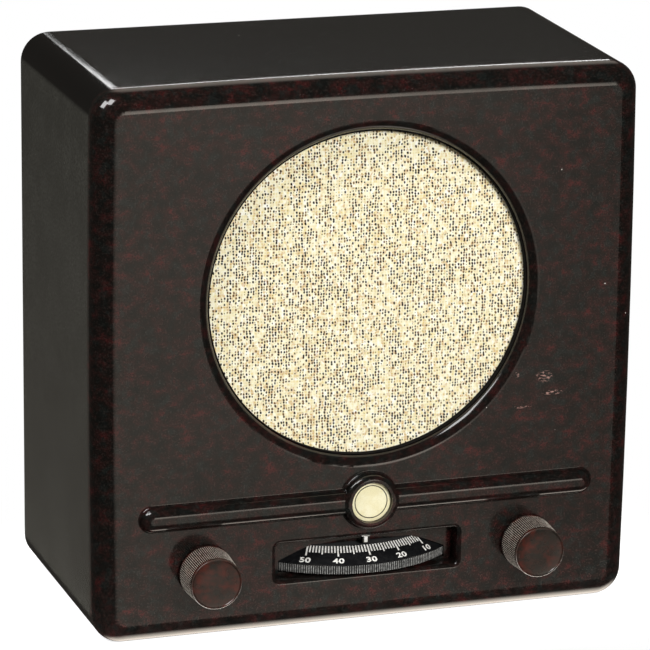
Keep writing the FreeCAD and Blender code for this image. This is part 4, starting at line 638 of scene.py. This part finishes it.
RIM_FLUTES = 360
RIM_STEPS = 4
DISC_LOW, DISC_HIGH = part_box("tuning_disc")
DISC_RADIUS = (DISC_HIGH.x - DISC_LOW.x) / 2
DISC_AXIS = Vector((0.0, (DISC_LOW.y + DISC_HIGH.y) / 2, 0.0))
RIM_LOW = DISC_HIGH.z - 9.9 * MM
RIM_HIGH = RIM_LOW + 3.9 * MM
FLAT_RADIUS = DISC_RADIUS - 8.5 * MM
SKIN = 2.2 * MM
HUB = 8.0 * MM
BORE = 3.0 * MM
SLOPE_DOWN = DISC_HIGH.z - RIM_HIGH
SLOPE = math.hypot(DISC_RADIUS - FLAT_RADIUS, SLOPE_DOWN)
COS, SIN = (DISC_RADIUS - FLAT_RADIUS) / SLOPE, SLOPE_DOWN / SLOPE


def cone_height(radius):
    """Height of the disc's sloping ring at a radius."""
    return DISC_HIGH.z - (radius - FLAT_RADIUS) * SLOPE_DOWN / (DISC_RADIUS - FLAT_RADIUS)


def tuning_disc():
    """A hollow disc: flat middle, sloping ring for the scale, notched rim and a hub."""
    edge = 0.30 * MM
    fillet = 0.6 * MM
    notch = 0.34 * MM
    top = cone_height(DISC_RADIUS - edge)
    shell = DISC_RADIUS - SKIN
    rows = [(BORE, DISC_HIGH.z, 0.0, 1), (HUB, DISC_HIGH.z, 0.0, 1), (FLAT_RADIUS * 0.6, DISC_HIGH.z, 0.0, 1),
            (FLAT_RADIUS - 0.25 * MM, DISC_HIGH.z, 0.0, 1), (FLAT_RADIUS, DISC_HIGH.z - 0.05 * MM, 0.0, 0),
            (FLAT_RADIUS + 0.2 * MM, cone_height(FLAT_RADIUS + 0.2 * MM), 0.0, 0),
            ((FLAT_RADIUS + DISC_RADIUS) / 2, cone_height((FLAT_RADIUS + DISC_RADIUS) / 2), 0.0, 0),
            (DISC_RADIUS - edge, top, 0.0, 0), (DISC_RADIUS, RIM_HIGH - 0.25 * MM, notch, 0),
            (DISC_RADIUS, (RIM_LOW + RIM_HIGH) / 2, notch, 0), (DISC_RADIUS, RIM_LOW + 0.25 * MM, notch, 0),
            (DISC_RADIUS - edge, RIM_LOW, 0.0, 0), (shell, RIM_LOW, 0.0, 0),
            (shell, RIM_HIGH - SKIN / 2, 0.0, 0), (FLAT_RADIUS - SKIN / 2, DISC_HIGH.z - SKIN, 0.0, 0),
            (HUB + fillet, DISC_HIGH.z - SKIN, 0.0, 0), (HUB, DISC_HIGH.z - SKIN - fillet, 0.0, 0),
            (HUB, DISC_LOW.z, 0.0, 0), (BORE, DISC_LOW.z, 0.0, 0), (BORE, DISC_HIGH.z, 0.0, 0)]
    points, faces, paint = lathe(rows, RIM_FLUTES * RIM_STEPS, upright(DISC_AXIS), flutes(RIM_FLUTES), 2)
    materials = [FINISH["dial_black"], FLAT_BLACK, PALE_RIM_RIDGES]
    obj = make_object("fluted_tuning_disc", points, faces, materials, 30.0, paint)
    return stand_in(obj, "dial_black", "tuning", "tuning_disc")


SCALE_ZERO = math.radians(0.9)       # where the 30 mark stands, from the front
SCALE_STEP = math.radians(1.5)       # from one unit to the next
PAINT_LIFT = 0.06 * MM
PAINT_SINK = 0.02 * MM


def scale_angle(value):
    return SCALE_ZERO + (30 - value) * SCALE_STEP


def on_cone(angle, radius, lift):
    """A point of the sloping ring: the angle runs from the front towards +X."""
    reach = radius + lift * SIN
    return DISC_AXIS + Vector((reach * math.sin(angle), -reach * math.cos(angle),
                               cone_height(radius) + lift * COS))


def strokes():
    """(angle, inner radius, outer radius, width) of every line of the scale."""
    inner = FLAT_RADIUS + 0.1 * MM
    for value in range(10, 51):
        length = 4.4 * MM if value % 10 == 0 else 3.6 * MM if value % 5 == 0 else 2.9 * MM
        width = 0.72 * MM if value % 10 == 0 else 0.64 * MM
        yield scale_angle(value), inner, inner + length, width


def scale_lines():
    """The strokes of the scale, as thin raised bars on the sloping ring."""
    points = []
    faces = []
    for angle, inner, outer, width in strokes():
        start = len(points)
        for lift in (-PAINT_SINK, PAINT_LIFT):
            for radius, side in ((inner, -1), (outer, -1), (outer, 1), (inner, 1)):
                points.append(on_cone(angle + side * width / 2 / radius, radius, lift))
        faces.append(tuple(start + index for index in (4, 5, 6, 7)))
        faces.append(tuple(start + index for index in (3, 2, 1, 0)))
        for side in range(4):
            after = (side + 1) % 4
            faces.append((start + side, start + after, start + 4 + after, start + 4 + side))
    obj = make_object("scale_lines", points, faces, [WHITE])
    return stand_in(obj, "dial_black", "tuning")


NUMERAL_RADIUS = FLAT_RADIUS + 6.55 * MM
NUMERAL_SIZE = 3.5 * MM
NUMERAL_STRETCH = 1.35


def numerals():
    """The round tens of the scale, bent onto the sloping ring, tops towards the spindle."""
    points = []
    faces = []
    for value in range(10, 51, 10):
        curve = bpy.data.curves.new(f"numeral_{value}", "FONT")
        curve.body = str(value)
        curve.size = NUMERAL_SIZE
        curve.align_x = "CENTER"
        curve.align_y = "CENTER"
        curve.extrude = (PAINT_LIFT + PAINT_SINK) / 2
        curve.offset = 0.11 * MM
        curve.space_character = 1.08
        text = bpy.data.objects.new(f"numeral_{value}", curve)
        bpy.context.scene.collection.objects.link(text)
        bpy.context.view_layer.update()
        drawn = bpy.data.meshes.new_from_object(text.evaluated_get(bpy.context.evaluated_depsgraph_get()))
        start = len(points)
        for vertex in drawn.vertices:
            right, up, out = vertex.co
            radius = NUMERAL_RADIUS - up * COS
            lift = out + (PAINT_LIFT - PAINT_SINK) / 2
            points.append(on_cone(scale_angle(value) + right * NUMERAL_STRETCH / radius, radius, lift))
        faces += [tuple(start + index for index in face.vertices) for face in drawn.polygons]
        bpy.data.objects.remove(text)
        bpy.data.curves.remove(curve)
        bpy.data.meshes.remove(drawn)
    obj = make_object("scale_numerals", points, faces, [WHITE], 25.0)
    return stand_in(obj, "dial_black", "tuning")


tuning_disc()
scale_lines()
numerals()


# --- pointer and emblem disc ----------------------------------------------------------------------

def bevelled_block(low, high, bevel):
    """Points and faces of a box whose twelve edges are chamfered."""
    work = bmesh.new()
    bmesh.ops.create_cube(work, size=1.0)
    for vertex in work.verts:
        vertex.co = Vector((low[i] + (vertex.co[i] + 0.5) * (high[i] - low[i]) for i in range(3)))
    bmesh.ops.bevel(work, geom=work.edges[:], offset=bevel, segments=2, affect="EDGES", profile=0.5)
    work.verts.index_update()
    points = [vertex.co.copy() for vertex in work.verts]
    faces = [tuple(vertex.index for vertex in face.verts) for face in work.faces]
    work.free()
    return points, faces


def pointer():
    """A dark peg with a white stripe down its front and a painted highlight in white across its top."""
    low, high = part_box("dial_pointer")
    bevel = 0.25 * MM
    half_stripe = 0.80 * MM
    peg = bevelled_block((low.x + 0.55 * MM, low.y + 0.3 * MM, low.z),
                         (high.x - 0.15 * MM, high.y, high.z), bevel)
    obj = make_object("pointer_peg", *peg, [FINISH["pointer"]])
    stand_in(obj, "pointer", "cabinet", "dial_pointer")
    # painted highlight: the white block across the peg's top
    painted_top_highlight = bevelled_block((low.x, low.y, high.z - 1.0 * MM), (high.x, high.y - 0.6 * MM, high.z), bevel)
    stripe = bevelled_block((-half_stripe, low.y, low.z + 0.15 * MM),
                            (half_stripe, low.y + 1.2 * MM, high.z - 0.4 * MM), 0.15 * MM)
    points = painted_top_highlight[0] + stripe[0]
    faces = painted_top_highlight[1] + [tuple(index + len(painted_top_highlight[0]) for index in face) for face in stripe[1]]
    return stand_in(make_object("pointer_mark", points, faces, [WHITE]), "pointer", "cabinet")


def emblem():
    """A plain ivory disc with a softened edge and one turned line near its rim."""
    low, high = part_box("emblem_disc")
    radius = (high.x - low.x) / 2
    thick = high.y - low.y
    line = radius * 0.80
    cut = 0.16 * MM
    wide = 0.22 * MM
    profile = [(0.0, 0.0, 0.0, 0), (radius, 0.0, 0.0, 0), (radius, thick - 0.40 * MM, 0.0, 0),
               (radius - 0.12 * MM, thick - 0.12 * MM, 0.0, 0), (radius - 0.42 * MM, thick, 0.0, 0),
               (line + wide, thick, 0.0, 1), (line + wide * 0.7, thick - cut, 0.0, 1),
               (line - wide * 0.7, thick - cut, 0.0, 1), (line - wide, thick, 0.0, 0),
               (line * 0.5, thick, 0.0, 0), (0.0, thick, 0.0, 0)]
    centre = Vector(((low.x + high.x) / 2, high.y, (low.z + high.z) / 2))
    points, faces, paint = lathe(profile, 128, facing_front(centre))
    obj = make_object("ivory_button", points, faces, [FINISH["ivory"], LINE], 30.0, paint)
    return stand_in(obj, "ivory", "cabinet", "emblem_disc")


pointer()
emblem()


# --- speaker cloth -----------------------------------------------------------------------------------

def speaker_cloth():
    """Linen stretched over the baffle's hole: woven relief and a faint slackness."""
    low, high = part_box("grille_cloth")
    centre = (low + high) / 2
    radius = (high.x - low.x) / 2 - 0.2 * MM
    steps = 3                             # mesh steps in one thread
    step = THREAD / steps
    half = int(radius / step) + 1
    rng = random.Random(11)
    threads = 2 * half // steps + 3
    weft_knots = [rng.uniform(0.65, 1.15) for _ in range(threads)]
    warp_knots = [rng.uniform(0.65, 1.15) for _ in range(threads)]
    index = {}
    points = []
    faces = []
    for column in range(-half, half + 1):
        for row in range(-half, half + 1):
            x, z = column * step, row * step
            away = math.hypot(x, z)
            if away > radius:
                continue
            over = math.cos(math.pi * x / THREAD) * math.cos(math.pi * z / THREAD)
            knot = warp_knots[(column + half) // steps] * weft_knots[(row + half) // steps]
            hollow = abs(math.sin(math.pi * x / THREAD) * math.sin(math.pi * z / THREAD))
            slack = 0.07 * MM * math.sin(x * 61.0 + 0.8) * math.cos(z * 47.0)
            lift = 0.11 * MM * abs(over) * knot - 0.12 * MM * hollow + slack * (1 - away / radius)
            index[column, row] = len(points)
            points.append((centre.x + x, centre.y - lift, centre.z + z))
    for column in range(-half, half):
        for row in range(-half, half):
            ring = [(column, row), (column + 1, row), (column + 1, row + 1), (column, row + 1)]
            if all(corner in index for corner in ring):
                faces.append(tuple(index[corner] for corner in ring))
    obj = make_object("speaker_linen", points, faces, [FINISH["cloth"]], 180.0)
    stand_in(obj, "cloth", "cabinet", "grille_cloth")
    return obj


speaker_cloth()


# --- round and behind the cloth -----------------------------------------------------------------------

SHADE_RING_RADIUS = 70.88 * MM              # just inside the speaker opening


def felt_ring():
    """A black strip at the cloth's edge just inside the speaker opening: painted shade that darkens the
    opening's wall.
    """
    shade = Shade("painted_shade_black", Specular_IOR_Level=0.05)
    fuzz = shade.noise(1400.0, 3.0, 0.6)
    shade.bump(fuzz, 0.00012, 0.8)
    colour = shade.mix(shade.between(fuzz, 0.3, 0.7), (0.0035, 0.0032, 0.0030), (0.0110, 0.0100, 0.0090))
    ring_black = shade.done(colour, shade.between(fuzz, 0.3, 0.7, 0.85, 1.0))
    low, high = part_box("grille_cloth")
    centre = Vector(((low.x + high.x) / 2, low.y - 0.15 * MM, (low.z + high.z) / 2))
    rows = ((0.0, 0.0), (0.0, 2.5), (0.12, 2.62), (0.30, 2.5), (0.38, 1.2), (0.34, 0.0), (0.0, 0.0))
    profile = [(SHADE_RING_RADIUS - inward * MM, height * MM, 0.0, 0) for inward, height in rows]
    points, faces, paint = lathe(profile, 240, facing_front(centre))
    return stand_in(make_object("felt_ring", points, faces, [ring_black], 60.0, paint), "baffle", "cabinet")


felt_ring()


def cone_surround():
    """The soft ring at the cone's edge, rolled in one half wave."""
    low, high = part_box("cone_surround")
    centre = Vector(((low.x + high.x) / 2, high.y, (low.z + high.z) / 2))
    outer = (high.x - low.x) / 2
    width = 2.5 * MM                      # the soft ring's breadth
    thick = high.y - low.y
    rows = [(outer, 0.0), (outer, thick * 0.5)]
    rows += [(outer - width * share / 8, thick * (0.5 + 0.5 * math.sin(math.pi * share / 8)))
             for share in range(1, 8)]
    rows += [(outer - width, thick * 0.5), (outer - width, 0.0), (outer, 0.0)]
    profile = [(radius, height, 0.0, 0) for radius, height in rows]
    points, faces, paint = lathe(profile, 160, facing_front(centre))
    obj = make_object("rolled_surround", points, faces, [FINISH["paper"]], 50.0, paint)
    return stand_in(obj, "paper", "cabinet", "cone_surround")


cone_surround()


HEAD_RADIUS = 3.5 * MM
HEAD_RISE = 1.5 * MM
SHANK_RADIUS = 1.6 * MM
HALF_SLOT = 0.45 * MM


def cover_screws():
    """The cover's four screws: domed slotted heads on their shanks."""
    low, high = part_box("cover_screws")
    points = []
    faces = []
    places = [(x, z) for x in (low.x + HEAD_RADIUS, high.x - HEAD_RADIUS)
              for z in (low.z + HEAD_RADIUS, high.z - HEAD_RADIUS)]
    depth = high.y - HEAD_RISE - low.y
    disc = HEAD_RADIUS * 0.97
    slot_floor = 0.35 * HEAD_RISE
    rows = [(0.0, slot_floor), (disc, slot_floor), (disc, 0.0), (SHANK_RADIUS, 0.0),
            (SHANK_RADIUS, 1.0 * MM - depth), (0.0, -depth)]
    profile = [(radius, height, 0.0, 0) for radius, height in rows]
    for x, z in places:
        for side in (-1, 1):
            add_half_dome(points, faces, Vector((x, high.y, z)), side)
        more, rings, _ = lathe(profile, 32, facing_back(Vector((x, high.y - HEAD_RISE, z))))
        faces += [tuple(index + len(points) for index in face) for face in rings]
        points += more
    obj = make_object("slotted_cover_screws", points, faces, [FINISH["steel"]], 30.0)
    return stand_in(obj, "steel", "cabinet", "cover_screws")


def facing_back(centre):
    """Places a turned shape on an axis that points to the back."""
    return lambda across, up, out: Vector((centre.x + across, centre.y + out, centre.z + up))


def add_half_dome(points, faces, top, side):
    """One of the two raised halves of a slotted head, its flat wall along the slot."""
    steps = 14
    levels = [(1.0, 1.0), (1.0, 0.35), (0.93, 0.14), (0.72, 0.04), (0.40, 0.0)]   # share of radius, drop
    start = len(points)
    begin = math.asin(HALF_SLOT / HEAD_RADIUS)
    for share, drop in levels:
        for step in range(steps + 1):
            angle = begin + (math.pi - 2 * begin) * step / steps
            x = HEAD_RADIUS * share * math.cos(angle)
            z = max(HALF_SLOT, HEAD_RADIUS * share * math.sin(angle))
            points.append(top + Vector((x, -drop * HEAD_RISE, side * z)))
    width = steps + 1
    for level in range(len(levels) - 1):
        for step in range(steps):
            here = start + level * width + step
            faces.append((here, here + 1, here + width + 1, here + width))
    top_row = start + (len(levels) - 1) * width
    faces.append(tuple(top_row + step for step in range(width)))
    faces.append(tuple(start + step for step in range(width)))
    ends = [start + level * width for level in range(len(levels))]
    faces.append(tuple(ends + [end + steps for end in reversed(ends)]))


cover_screws()


# --- floor, light and camera ----------------------------------------------------------------------------

FLOOR_REACH = 0.25                    # radius of the floor's disc
FLOOR_FULL, FLOOR_FADE = 0.012, 0.055     # distance from the cabinet where it starts and ends to fade
FLOOR_GLOW = 0.88
WORLD_DIM = 0.045
WARM_WHITE = (1.0, 0.90, 0.78)
WHITE_LIGHT = (1.0, 1.0, 1.0)
SOFT_PATCHES = (
    # direction, half angle in degrees, radiance
    ((0.2000, -0.9400, -0.2650), 15.0, 0.78),
    ((0.2900, 0.6500, 0.7000), 24.0, 1.15),
    ((0.3000, 0.3000, -0.9000), 36.0, 4.50),
    ((0.3050, -0.9500, -0.0450), 8.5, 4.20),
    ((-0.3050, 0.8860, -0.3500), 9.5, 0.07),
)


def lobe(shade, towards, wide, radiance):
    """A soft patch of the surroundings: full in the direction `towards`, gone `wide` degrees off it."""
    aim = Vector(towards).normalized()
    found = shade.node("VectorMath", {0: shade.place, 1: aim}, operation="DOT_PRODUCT").outputs["Value"]
    return shade.between(found, math.cos(math.radians(wide)), 1.0, 0.0, radiance)


class Surroundings(Shade):
    """The world's shader, with directions in place of the object's coordinates."""

    def __init__(self, world):
        self.tree = world.node_tree
        self.skin = self.tree.nodes["Background"]
        self.skin.inputs["Color"].default_value = (*WHITE_LIGHT, 1.0)
        self.place = self.tree.nodes.new("ShaderNodeTexCoord").outputs["Generated"]


def studio():
    """A small white floor that fades out, in surroundings that are white to the eye alone."""
    shade = Shade("studio_floor", Specular_IOR_Level=0.0, Emission_Strength=FLOOR_GLOW)
    shade.skin.inputs["Emission Color"].default_value = (*WHITE_LIGHT, 1.0)
    wash = shade.noise(3.0, 2.0)
    colour = shade.mix(shade.between(wash, 0.3, 0.7), (0.90, 0.90, 0.90), (0.92, 0.92, 0.92))
    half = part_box("cabinet")[1]
    beside = [shade.math("SUBTRACT", shade.math("ABSOLUTE", shade.axis(letter)), reach)
              for letter, reach in (("X", half.x), ("Y", half.y))]
    away = shade.math("MAXIMUM", *beside)
    shade.feed(shade.skin.inputs["Alpha"], shade.between(away, FLOOR_FULL, FLOOR_FADE, 1.0, 0.0))
    paint = shade.done(colour, shade.between(wash, 0.3, 0.7, 0.8, 0.9))
    sides = 96
    rim = [(FLOOR_REACH * math.cos(math.tau * i / sides), FLOOR_REACH * math.sin(math.tau * i / sides), 0.0)
           for i in range(sides)]
    floor = make_object("floor", rim, [tuple(range(sides))], [paint])
    floor.visible_glossy = False

    world = bpy.data.worlds.new("studio")
    bpy.context.scene.world = world
    world.use_nodes = True
    around = Surroundings(world)
    total = WORLD_DIM
    for towards, wide, radiance in SOFT_PATCHES:
        total = around.math("ADD", lobe(around, towards, wide, radiance), total)
    seen = around.node("LightPath", {}).outputs["Is Camera Ray"]
    around.feed(around.skin.inputs["Strength"], around.node("Mix", {0: seen, 2: total, 3: 1.0}).outputs[0])
    around.feed(around.skin.inputs["Color"], around.mix(seen, WARM_WHITE, WHITE_LIGHT))


def softbox(name, place, aim, size, power):
    """A rectangular area light at `place` that points at `aim`."""
    light = bpy.data.lights.new(name, "AREA")
    light.shape = "RECTANGLE"
    light.size, light.size_y = size
    light.energy = power
    obj = bpy.data.objects.new(name, light)
    obj.location = place
    obj.rotation_mode = "QUATERNION"
    obj.rotation_quaternion = (Vector(aim) - Vector(place)).to_track_quat("-Z", "Y")
    bpy.context.scene.collection.objects.link(obj)
    return obj


studio()
front = softbox("front", (0.45, -2.0, 1.05), (0.0, 0.0, 0.12), (0.8, 0.7), 47.5)
front.visible_glossy = False
softbox("left_low", (-0.95, -0.10, 1.05), (0.0, 0.0, 0.12), (0.46, 0.46), 8.5)
softbox("left_high", (-0.62, -0.42, 1.28), (0.0, 0.0, 0.12), (0.46, 0.46), 8.5)
softbox("back_strip", (0.49, 1.60, 0.905), (0.0, 0.0, 0.20), (0.80, 0.13), 2.8)


CAMERA_PLACE = (-0.52992, -1.58377, 0.59583)


def camera():
    """A long lens from the front left and a little above, held level but for a trace of roll."""
    yaw, pitch, roll = 0.3225, 0.2792, 0.0132
    ahead = Vector((math.sin(yaw) * math.cos(pitch), math.cos(yaw) * math.cos(pitch), -math.sin(pitch)))
    right = Vector((math.cos(yaw), -math.sin(yaw), 0.0))
    up = right.cross(ahead)
    across = math.cos(roll) * right + math.sin(roll) * up
    above = math.cos(roll) * up - math.sin(roll) * right
    data = bpy.data.cameras.new("camera")
    data.sensor_width = 36.0
    data.lens = 220.13
    data.clip_start, data.clip_end = 0.05, 30.0
    obj = bpy.data.objects.new("camera", data)
    turn = Matrix((across, above, -ahead)).transposed()
    obj.matrix_world = Matrix.Translation(CAMERA_PLACE) @ turn.to_4x4()
    bpy.context.scene.collection.objects.link(obj)
    bpy.context.scene.camera = obj


camera()
bpy.context.scene.view_settings.view_transform = "Standard"

bpy.context.view_layer.update()
